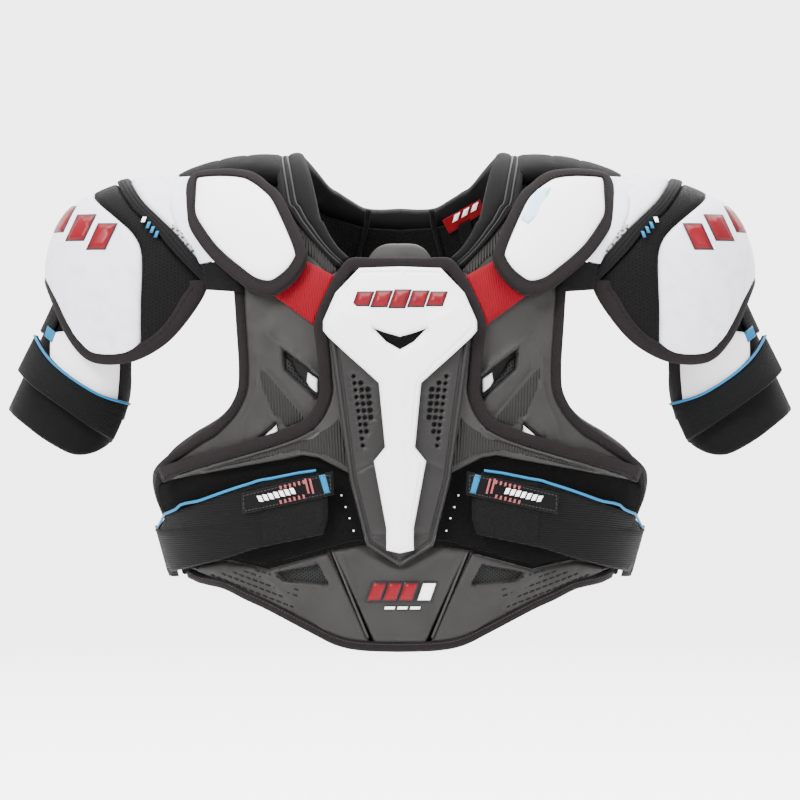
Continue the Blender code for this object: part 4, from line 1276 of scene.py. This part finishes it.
# ---------------------------------------------------------------- belly straps
STRAP_END = SIDE + 34.0
STRAP_LOW = [(190, 62), (145, 74), (114, 84), (62, 95), (58, 108), (58, 121), (60, 134), (66, 145)]
STRAP_TOP = [(98, 139.5), (126, 132.5), (159, 121), (190, 109)]
for side_name, s in SIDES:
    body = "belly_strap_" + side_name
    front = seen(dense(STRAP_LOW + STRAP_TOP, 5.0, False), s, 26.0)
    end = dense([(s * (SIDE + 4), 108), (s * STRAP_END, 109), (s * STRAP_END, 64),
                 (s * (SIDE + 4), 65)], 5.0, False)
    settle(pad("belly_elastic_" + side_name, on_body, [np.vstack([front, end])], 23.6, 26.4,
               ELASTIC, 6.5, 1.4), body, "black_elastic", "belly_strap_" + side_name)
    anchor = dense([(s * (SIDE + 30), 110), (s * (SIDE + 58), 110), (s * (SIDE + 58), 64),
                    (s * (SIDE + 30), 64)], 5.0)
    settle(pad("strap_anchor_" + side_name, on_body, [anchor], 16.8, 19.4, ELASTIC, 6.0, 1.4),
           "back", "black_elastic")
    for k in range(2):
        settle(thread("strap_anchor_stitch_%d_%s" % (k + 1, side_name), on_body,
                      dense([(s * (SIDE + 48 + 5 * k), 107), (s * (SIDE + 48 + 5 * k), 67)], 4.0,
                            False), 19.5, THREAD_GREY, 3.0, 1.8), "back", "black_elastic")
    hook = on([(112, 137), (112, 86), (66, 96.5), (60.5, 108), (60.5, 124), (66, 141)], s, 27.0)
    settle(pad("belly_hook_patch_" + side_name, on_body, [hook], 25.8, 27.2, HOOK, 6.0, 1.0),
           body, "black_elastic")
    trim = np.vstack([curve([(67, 145)] + STRAP_TOP, s, 27.0),
                      dense([(s * (SIDE + 4), 108), (s * STRAP_END, 109)], 5.0, False)])
    settle(cord_line("belly_piping_" + side_name, on_body, shifted(trim, s * 1.6, False), 26.6,
                     1.15, BLUE_CORD), body, "black_elastic")
    tab = on([(54, 146), (53, 127), (80, 121), (127, 111), (128, 128)], s, 30.0)
    settle(pad("belly_tab_" + side_name, on_body, [tab], 27.6, 30.4, CAP_BLACK, 6.0, 1.4),
           body, "black_liner_mesh", "belly_strap_tab_" + side_name)
    settle(thread("belly_tab_stitch_" + side_name, on_body,
                  evened(np.vstack([inset(tab, 2.2), inset(tab, 2.2)[:1]]), 90), 30.4,
                  THREAD_GREY, 3.0, 1.8), body, "black_liner_mesh")
    mark("belly_tab_bar_" + side_name, on_body,
         on([(60, 143.5), (65, 142.5), (60.5, 128), (56, 129)], s, 30.6), 30.4, PRINT_BLUE, body,
         "black_liner_mesh")
    bars("belly_tab_mark_" + side_name, on_body, lambda c, s=s: on(c, s, 30.6, 1.5), (99, 127.0),
         7, (3.4, 4.6), 0.45, body, "black_liner_mesh", 31.0, outline=0.0, drop=-0.24,
         finish=PRINT_WHITE)
    for k in range(8):
        x, drop = 68.5 + 3.7 * k, 0.9 * k
        tall = 12.0 if k < 2 else 3.0
        for part, foot in enumerate((140.5 - drop - tall, 126.0 - drop) if k > 1 else (128.0,)):
            mark("belly_tab_hash_%d_%d_%s" % (part + 1, k + 1, side_name), on_body,
                 on([(x + 0.25 * tall, foot + tall), (x + 1.7 + 0.25 * tall, foot + tall),
                     (x + 1.7, foot), (x, foot)], s, 31.0, 1.5), 31.0, PRINT_PINK, body,
                 "black_liner_mesh", 0.25)

# ---------------------------------------------------------------- floating clavicle pads
FLOATER = [(174.5, 352), (174.5, 366), (173, 382), (164, 389.5), (140, 391.5), (119, 388.5),
           (106, 379), (96, 369), (83, 343), (76, 324), (77, 314), (85, 301), (97, 291),
           (106, 288), (119, 291), (131, 299), (154, 319), (170, 341)]
for side_name, s in SIDES:
    body = "floater_" + side_name
    edge = seen(smooth(FLOATER, 4.0), s, 31.0)
    turned = 1 if area(edge) > 0 else -1
    settle(tape("floater_tape_" + side_name, on_body, edge, 8.6 * turned, 22.6, 31.4, TAPE_CLOTH,
                True), body, "charcoal_binding_tape", "floater_binding_" + side_name)
    ring = shifted(edge, 7.2 * turned)
    settle(thread("floater_stitch_" + side_name, on_body, np.vstack([ring, ring[:1]]), 31.5,
                  THREAD_DARK), body, "charcoal_binding_tape")
    crest = run([(112, 372), (118, 350), (100, 316)], s, 33.0)

    def floater_shape(pts, crest=crest):
        return line(pts, crest, 14.0, 0.8)

    settle(pad("floater_skin_" + side_name, on_body, [shifted(edge, 7.6 * turned)], 22.8, 31.6,
               FLOAT_WHITE, 5.5, 6.0, 0.62, 2.2, 26.0, floater_shape), body,
           "white_moulded_shell", "floater_pad_" + side_name, stuffed=0.9)

corner = on([(97.5, 350), (106, 368), (112, 374), (122, 375), (113, 352), (103, 345)], 1, 34.0,
            3.0)
mark("floater_patch", on_body, corner, 33.6, moulded("pale_blue_print", (0.42, 0.62, 0.74), 0.5),
     "floater_right", "white_moulded_shell")

# ---------------------------------------------------------------- collar and shoulder bridges
ROLLS = [(0.0, 0.0), (-0.01, 0.35)]
for start, stop, high in ((0.0, 0.24, 0.86), (0.24, 0.42, 0.90), (0.42, 1.0, 1.0)):
    for j in range(7):
        share = j / 6
        ROLLS.append((start + (stop - start) * (0.02 + 0.96 * share),
                      high * (0.80 + 0.20 * math.sin(math.pi * share) ** 0.5)))
ROLLS += [(1.01, 0.35), (1.0, 0.0)]


def collar_edge(front, over, behind):
    """A collar edge from its front end over the shoulder to the middle of the back."""
    return rounded_run(np.vstack([curve(front, 1, 18.0), over, curve(behind, 1, 18.0, True)]))


def rounded_run(path):
    """A collar edge eased over its corners and stepped evenly up to the middle of the back."""
    return evened(smooth(np.vstack([path[:-1][::3], path[-1:]]), 3.0, False), 90)


collar_outer = mirrored(collar_edge(
    [(49, 310), (61, 321), (75, 336), (88, 353), (97, 367)],
    [(99.5, 396), (101, 414), (101.5, 430), (101, 446), (99, 466)],
    [(86, 370), (60, 351), (30, 341), (0, 340)]))
collar_inner = mirrored(collar_edge(
    [(40, 317), (52, 329), (61, 346), (68, 362)],
    [(74, 404), (75.5, 416), (76, 430), (75.5, 441), (74, 452)],
    [(67, 389), (54, 379), (40, 370), (26, 363.5), (0, 364)]))
over_shoulder(band("collar_rolls", on_body, collar_outer, collar_inner, 7.4, 20.0, SOFT_BLACK,
                   ROLLS), "black_padded_foam", "front_collar_left", "front_collar_right",
              "back_collar", stuffed=0.8)
for label, share in (("low", 0.24), ("high", 0.42)):
    path = collar_outer + (collar_inner - collar_outer) * share
    over_shoulder(cord_line("collar_piping_" + label, on_body, path, 17.6, 0.8, EDGE_CORD),
                  "charcoal_binding_tape")
for side_name, s in SIDES:
    bridge = dense([(s * 91, 375), (s * 172, 390), (s * 187, 414), (s * 190, 430),
                    (s * 187, 446), (s * 172, 468), (s * 92, 468), (s * 92, 430)], 5.0)
    quilt = [dense([(s * x, 398), (s * (x + 1), 464)], 4.0, False) for x in (124, 146)]

    def bridge_shape(pts, quilt=quilt):
        return line(pts, quilt[0], 1.5, -0.9) + line(pts, quilt[1], 1.5, -0.9)

    over_shoulder(pad("shoulder_bridge_" + side_name, on_body, [bridge], 7.4, 18.5, SOFT_BLACK,
                      5.5, 7.0, 0.45, 2.2, 20.0, bridge_shape, quilt),
                  "black_padded_foam", "shoulder_bridge_front_" + side_name,
                  "shoulder_bridge_rear_" + side_name, stuffed=0.8)

# ---------------------------------------------------------------- linings
liner_side = shifted(armhole, 1.0 - BINDING, False)
liner_side = liner_side[liner_side[:, 1] > 80]
liner_neck = run([(44, 300), (61, 317), (75, 333), (88, 352), (97, 366)], 1, 6.0)
liner_half = np.vstack([run([(0, 305), (38, 305)], 1, 6.0), liner_neck,
                        dense([(102, 396), (104, 427), (180, 427), (172, 380)], 6.0, False),
                        liner_side,
                        run([(166, 78), (145, 84), (109, 78), (59, 91), (0, 98)], 1, 6.0)])
settle(pad("chest_lining", on_body, [whole(liner_half)], 0.0, LINER_OUT, LINER, 9.0, 4.0), "vest",
       "black_liner_mesh", "chest_liner", stuffed=0.9)
top_pad = smooth([(0, 330), (13, 329.5), (22, 324), (27, 314), (24, 304), (0, 303), (-24, 304),
                  (-27, 314), (-22, 324), (-13, 329.5)], 4.0)
settle(pad("chest_top_pad", on_body, [seen(top_pad, 1, 12.0)], 7.0, 12.0, FOAM, 5.0, 4.0, 0.3,
           0.8), "vest", "grey_moulded_foam")

# ---------------------------------------------------------------- back
BACK_ARMHOLE = [(152, 348), (140, 318), (133, 285), (131, 250), (134, 215), (148, 192), (172, 176),
                (190, 162), (199, 146), (198, 128), (190, 104), (182, 80), (172, 66), (150, 56),
                (110, 46), (60, 40), (0, 38)]
back_edge = curve(BACK_ARMHOLE, behind=True)
bind("back", "", mirrored(back_edge), 1, "back", "back_binding", THREAD_DARK)
back_under = shifted(back_edge, BINDING - OVERLAP, False)
back_neck = run([(0, 334), (30, 335), (60, 345), (86, 361)], 1, 15.0, behind=True)
back_half = np.vstack([back_neck, dense([(104, 468), (174, 468)], 5.0, False), back_under])
spine_lines = [run([(38, 320), (36, 200), (33, 100), (30, 48)], s, 15.0, behind=True)
               for s in (1, -1)]
wing_lines = [run([(60 + 22 * k, 160), (52 + 20 * k, 66)], s, 15.0, behind=True)
              for s in (1, -1) for k in range(4)]
waist_lines = [run([(42, 168), (120, 172), (150, 178)], s, 15.0, behind=True) for s in (1, -1)]


def back_shape(pts):
    return sum([line(pts, path, 2.4, -1.8) for path in spine_lines + waist_lines]
               + [line(pts, path, 2.2, -1.4) for path in wing_lines])


settle(pad("back_foam", on_body, [whole(back_half)], FOAM_IN, 15.2, FOAM, 6.5, relief=back_shape,
           creases=spine_lines + waist_lines + wing_lines), "back", "grey_moulded_foam",
       "back_panel")
lining_neck = run([(0, 346), (30, 348), (60, 357), (84, 370)], 1, 6.0, behind=True)
back_lining = np.vstack([lining_neck, dense([(103, 478), (104, 433), (180, 433), (172, 478)], 6.0,
                                          False), back_under])
settle(pad("back_lining", on_body, [whole(back_lining)], 0.0, LINER_OUT, LINER, 9.0, 4.0), "back",
       "black_liner_mesh", "back_liner", stuffed=0.9)
for side_name, s in SIDES:
    rim = seen(smooth([(42, 180), (40, 240), (44, 300), (70, 318), (104, 318), (119, 290),
                       (117, 240), (106, 205), (76, 176)], 4.0), s, 26.0, True)
    seam = run([(46, 236), (82, 246), (114, 240)], s, 26.0, behind=True)

    def scapula_shape(pts, seam=seam):
        return line(pts, seam, 2.2, -2.4)

    made = settle(pad("scapula_cushion_" + side_name, on_body, [rim], 15.4, 24.4, SOFT_BLACK,
                      5.5, 6.0, 0.3, 2.0, 25.0, scapula_shape, [seam]),
                  "back", "black_padded_foam", "scapula_pad_" + side_name)
    plump(made)
label_loop = on([(35, 352), (66, 369), (70, 359), (41, 341)], 1, -1.0, 3.0, True)
settle(pad("collar_label_cloth", on_body, [label_loop], -1.6, -0.4, LABEL, 5.0, 0.5), "back",
       "red_woven_label", "collar_label")
size_tag = on([(48, 348), (58, 353), (61, 337), (51, 333)], 1, -2.0, 3.0, True)
settle(pad("size_tag", on_body, [size_tag], -2.8, -1.8, CAP_BLACK, 5.0, 0.4), "back",
       "red_woven_label")
for k in range(3):
    x, z = 43.5 + 7.5 * k, 350.0 + 4.1 * k
    settle(pad("label_bar_%d" % (k + 1), on_body,
               [on([(x, z), (x + 4.5, z + 2.5), (x + 6.3, z + 8.6), (x + 1.8, z + 6.1)], 1, -2.0,
                   3.0, True)], -2.6, -1.5, PRINT_WHITE, 5.0, 0.3), "back", "red_woven_label")
for s in (1, -1):
    fold = run([(26, 360), (28, 346), (34, 326), (36, 310)], s, -1.0, behind=True)
    settle(cord_line("lining_fold_%d" % (1 if s > 0 else 2), on_body, fold, -0.5, 2.2, SOFT_BLACK),
           "back", "black_liner_mesh")

# the spine guard: overlapping plates on a plane behind the back
SPINE_LOW, SPINE_HIGH = 96.0, 262.0
PLATES = 5
GUARD_PLANE = 117.0


def flat_back(x, z, d):
    x, z, d = np.broadcast_arrays(*(np.asarray(k, float) for k in (x, z, d)))
    return np.stack([x, GUARD_PLANE + d, z], -1)


for k in range(PLATES):
    step = (SPINE_HIGH - SPINE_LOW) / PLATES
    low, high = SPINE_LOW + step * k, SPINE_LOW + step * (k + 1) + (4.0 if k < PLATES - 1 else 0)
    loop = smooth([(-24, low + 1), (0, low), (24, low + 1), (30, low + 6), (30, high - 6),
                   (24, high - 1), (0, high), (-24, high - 1), (-30, high - 6), (-30, low + 6)],
                  4.0)
    made = pad("spine_plate_%d" % (k + 1), flat_back, [loop], 0.2, 5.6 + 0.9 * (k % 2), WHITE,
               5.0, 4.0, 0.25, 2.4, 14.0)
    settle(made, "back", "white_moulded_shell")
    if k == 0:
        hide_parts("spine_guard")

# ---------------------------------------------------------------- shoulder caps
CAP_EDGE = [(182, 389), (205, 392), (240, 386), (270, 366), (290, 335), (292, 308), (282, 279),
            (268, 250), (249, 233), (218, 233), (189, 248), (168, 272), (155, 297), (161, 319),
            (176, 338), (183, 360)]
BAND_INNER = [(226, 392), (210, 366), (191, 347), (179, 335), (152.5, 303)]
BAND_OUTER = [(237, 390), (217, 360), (201, 345), (182, 322), (155, 294)]
PANEL_EDGE = [tuple(p) for p in smooth([(262, 386), (249, 368), (232, 353), (217, 339),
                                        (210, 325), (209, 305), (210, 277), (210, 236)], 6.0, False)]


def cap_loop(points, step=3.0):
    return cap_seen(dense(points, step))


for side_name, s in SIDES:
    body = "cap_" + side_name
    form = cap_surface(s)
    outline_seen = smooth(CAP_EDGE, 3.0)
    outline = cap_seen(outline_seen)
    size = np.hypot(outline[:, 0], outline[:, 1])
    first = max(i for i in range(len(outline)) if size[i] > ON_RIM and outline[i, 0] > 50)
    rim = np.vstack([outline[first:], outline[:1]])
    seen_rim = np.vstack([outline_seen[first:], outline_seen[:1]])
    last = max(i for i in range(len(rim)) if seen_rim[i, 1] < 305)
    rim = rim[:last]
    settle(tape("cap_tape_" + side_name, form, rim, -BINDING, -12.0, 1.4, TAPE_CLOTH,
                split=True), body, "charcoal_binding_tape", "cap_binding_" + side_name)
    settle(thread("cap_stitch_" + side_name, form, shifted(rim, -6.4, False)[2:-2], 1.5,
                  THREAD_DARK, both=True), body, "charcoal_binding_tape")
    upper = cap_loop([(178, 393), (203, 396)] + BAND_INNER + [(153, 306), (157, 319), (174, 338),
                                                            (183, 360)])
    settle(pad("cap_upper_" + side_name, form, [upper], -6.0, 0.0, CAP_WHITE, 4.5, 3.0, 0.4,
               1.2, 14.0, split=True), body, "white_cap_fabric")
    tip = cap_loop([(186, 349), (169, 334), (152, 322), (151, 306), (156, 309), (169, 323),
                    (184, 339)])
    settle(pad("cap_pale_mesh_" + side_name, form, [tip], -3.0, 1.7, PALE_MESH, 4.0, 1.6),
           body, "white_cap_fabric")
    seam_a = evened(cap_seen(smooth(BAND_INNER, 3.0, False)), 44)
    seam_b = evened(cap_seen(smooth(BAND_OUTER, 3.0, False)), 44)
    settle(band("cap_seam_band_" + side_name, form, seam_a, seam_b, -5.0, 1.6, SEAM_BLACK, TAPE,
                split=True), body, "black_elastic")
    black = cap_loop(BAND_OUTER + [(168, 272), (189, 248), (218, 233)] + PANEL_EDGE[::-1][1:]
                     + [(250, 396)])
    settle(pad("cap_mesh_" + side_name, form, [black], -6.0, -0.8, CAP_MESH, 4.5, 3.0, 0.4,
               split=True), body, "black_padded_foam")
    white = cap_loop(PANEL_EDGE + [(230, 233), (249, 236), (268, 250), (282, 279), (296, 308),
                                   (300, 340), (284, 372)])
    settle(pad("cap_outer_" + side_name, form, [white], -6.0, 0.4, CAP_WHITE, 4.5, 3.4, 0.35,
               1.4, 20.0, split=True), body, "white_cap_fabric", "cap_shell_" + side_name,
           stuffed=0.9)
    parts = (("cap_tuck_", [(162, 313), (167, 324), (178, 338), (186, 360), (185, 390)],
              [(138, 318), (147, 332), (156, 350), (158, 372), (152, 390)], CAP_WHITE,
              "white_cap_fabric", 2.4),
             ("cap_link_", [(157, 292), (158, 301), (160, 312)],
              [(127, 290), (130, 300), (138, 318)], CAP_BLACK, "black_elastic", 3.0))
    for label, near, far, cloth, tint, thick in parts:
        brim = smooth(near, 3.0, False)
        start = cap_surface(1)(*cap_seen(brim).T, np.full(len(brim), -1.6))
        stop = on_body(*evened(curve(far, 1, 19.0), len(brim)).T, np.full(len(brim), 17.5))

        def tuck(i, share, d, start=start, stop=stop, s=s):
            """Cloth from the cap's inner edge down under the floating pad."""
            at = np.arange(len(start))
            a = np.stack([np.interp(i, at, start[:, k]) for k in range(3)], -1)
            b = np.stack([np.interp(i, at, stop[:, k]) for k in range(3)], -1)
            points = a + (b - a) * share[..., None]
            points[..., 1] -= d + 5.0 * np.sin(math.pi * share)
            points[..., 0] *= s
            return points

        made = cloth_grid(label + "cloth_" + side_name, tuck, np.arange(len(brim), dtype=float),
                          np.linspace(0, 1, 9), thick, cloth)
        say(tint, ["cap_link_" + side_name] if "link" in label else [])
        tuple(to_world(np.array((s * 168.0, -86.0, 345.0))))
        tuple(to_world(np.array((s * 146.0, -70.0, 345.0))))
        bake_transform(made)
    lining = cap_loop([(186, 386)] + CAP_EDGE[1:], 5.0)
    settle(pad("cap_lining_" + side_name, form, [inset(lining, 6.0)], -17.5, -8.5, LINER, 8.0,
               5.0, split=True), body, "black_padded_foam", "cap_foam_" + side_name, stuffed=0.8)
    for label, middle, count, size, slant, slot, d, outline, drop, ink in (
            ("mark", (258, 342), 3, (13.5, 19.0), -0.45, "white_cap_fabric", 2.0, 1.2, 0.42,
             PRINT_RED),
            ("tag", (200, 340), 3, (2.6, 5.0), -0.35, "black_elastic", 2.1, 0.2, 1.1, PRINT_BLUE),
            ("tag_blue", (207, 348), 1, (3.0, 4.0), -0.35, "black_elastic", 2.1, 0.2, 0.0,
             PRINT_WHITE)):
        bars("cap_%s_%s" % (label, side_name), form, lambda c: cap_loop(c, 2.5), middle, count,
             size, slant, body, slot, d, outline, 0.0, drop, ink)

# ---------------------------------------------------------------- bicep guards
for side_name, s in SIDES:
    body = "bicep_guard_" + side_name
    form = arm_surface(s)
    hem = arm_seen(smooth([(220, 236), (221, 214), (227, 190), (232, 173), (239, 165), (249, 159),
                           (259, 157.5), (270, 160), (290, 171), (307, 183), (318, 191),
                           (324, 196)], 4.0, False), 5.0)
    loop = np.vstack([hem, dense([(12, hem[-1][1] + 1), (60, 84), (108, 74), (108, -14),
                                  (hem[0][0], -14)], 5.0, False)])
    settle(pad("bicep_foam_" + side_name, form, [loop], 0.0, 5.6, SOFT_BLACK, 5.0, 3.0), body,
           "black_padded_foam", "bicep_guard_body_" + side_name, stuffed=0.8)
    rim = [arm_seen([(219.6 + x, 252), (220 + x, 226), (222.2 + x, 204), (226 + x, 187 + 0.2 * x)],
                    9.0) for x in (0.0, 8.8)]
    settle(band("bicep_binding_" + side_name, form, evened(rim[0], 24), evened(rim[1], 24), 6.0,
                10.4, TAPE_CLOTH), body, "charcoal_binding_tape")
    loop = dense(arm_seen([(228, 262), (228, 228), (230, 204), (236, 188), (262, 202), (284, 216),
                           (285, 258)], 9.0), 4.0)
    settle(pad("bicep_shell_" + side_name, form, [loop], 6.6, 9.8, WHITE, 4.0, 2.0, 0.3, 0.8),
           body, "white_moulded_shell", "bicep_plate_" + side_name)
    strap = "bicep_strap_" + side_name
    top, low = (evened(arm_seen(smooth(path, 3.0, False), 12.5), 40) for path in (
        [(297, 256), (286, 239), (269.5, 224), (245, 208.5), (222, 201)],
        [(312, 226.5), (300, 215), (275, 197), (252, 181), (235, 170)]))
    settle(band("bicep_elastic_" + side_name, form, top, low, 11.0, 13.8, ELASTIC, FLAT), strap,
           "black_elastic", "bicep_strap_" + side_name)
    settle(cord_line("bicep_piping_" + side_name, form, top + (0, 1.0), 14.0, 1.1, BLUE_CORD),
           strap, "black_elastic")
    loop = dense([(-34, -24), (-10, -24), (-10, 7), (-34, 8)], 4.0)
    settle(pad("bicep_web_" + side_name, form, [loop], 7.5, 9.8, ELASTIC, 5.0, 1.0),
           "bicep_hanger_" + side_name, "black_elastic", "bicep_hanger_" + side_name)
    loop = dense(arm_seen([(288.2, 264), (281, 258.6), (284, 250), (290.8, 255.5)], 11.0), 3.0)
    settle(pad("bicep_pull_" + side_name, form, [loop], 9.9, 11.2, PRINT_BLUE, 3.0, 0.6),
           "bicep_hanger_" + side_name, "black_elastic")

# ---------------------------------------------------------------- carried-over solids
for name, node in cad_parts.items():
    if not node.hide_render:
        node.data.materials.clear()
        node.data.materials.append(SEAM_BLACK if "link" in name else TAPE_CLOTH)

# ---------------------------------------------------------------- stage, light and camera
EYE_HEIGHT = -0.177
FLOOR_HEIGHT = -0.60
CAMERA_DISTANCE = 6.0
CAMERA_LENS = 329.3
AIR_STRENGTH = 1.35


def backdrop():
    """A pale sweep: a floor that curves up behind the object."""
    radius, back, front, half, top = 2.5, 9.5, -9.5, 9.5, 9.0
    profile = [(front, FLOOR_HEIGHT)]
    for k in range(17):
        turn = k / 16 * math.pi / 2
        profile.append((back - radius + radius * math.sin(turn),
                        FLOOR_HEIGHT + radius - radius * math.cos(turn)))
    profile.append((back, top))
    verts = [(x, y, z) for y, z in profile for x in (-half, half)]
    faces = [(2 * k, 2 * k + 1, 2 * k + 3, 2 * k + 2) for k in range(len(profile) - 1)]
    pale = Finish("studio_paper", (0.95, 0.95, 0.95), 0.95)
    pale.relief(pale.noise(4.0), 0.02)
    return new_object("studio_sweep", verts, faces, pale.material)


sweep = backdrop()


def soft_light(name, location, target, size, power):
    made = bpy.data.lights.new(name, "AREA")
    made.shape = "RECTANGLE"
    made.size, made.size_y = size
    made.energy = power
    lamp = bpy.data.objects.new(name, made)
    bpy.context.scene.collection.objects.link(lamp)
    lamp.location = location
    lamp.rotation_euler = (Vector(target) - Vector(location)).to_track_quat("-Z", "Y").to_euler()
    return lamp


middle_point = (0.0, 0.0, -0.17)
lamps = [soft_light("key_light", (-1.6, -2.2, 1.7), middle_point, (1.1, 1.1), 230.0),
         soft_light("fill_light", (2.0, -2.0, 0.6), middle_point, (1.6, 1.6), 70.0),
         soft_light("top_light", (0.0, -0.3, 2.2), middle_point, (1.8, 1.0), 170.0),
         soft_light("back_light", (0.4, 1.7, 1.3), middle_point, (1.6, 1.2), 60.0),
         soft_light("paper_light", (0.0, 2.5, 4.5), (0.0, 9.0, -0.2), (9.0, 3.0), 1500.0),
         soft_light("paper_light_low", (0.0, 2.5, 3.5), (0.0, 5.0, -0.6), (8.0, 2.0), 260.0)]
world = bpy.data.worlds.new("studio_world")
world.use_nodes = True
air = world.node_tree.nodes["Background"]
air.inputs["Color"].default_value = (1.0, 1.0, 1.0, 1.0)
air.inputs["Strength"].default_value = AIR_STRENGTH
bpy.context.scene.world = world

lens = bpy.data.cameras.new("main_camera")
lens.sensor_width = 36.0
lens.lens = CAMERA_LENS
lens.dof.use_dof = False
camera = bpy.data.objects.new("main_camera", lens)
bpy.context.scene.collection.objects.link(camera)
camera.location = (0.0, -CAMERA_DISTANCE, EYE_HEIGHT)
camera.rotation_euler = (math.radians(90.0), 0.0, 0.0)
bpy.context.scene.camera = camera
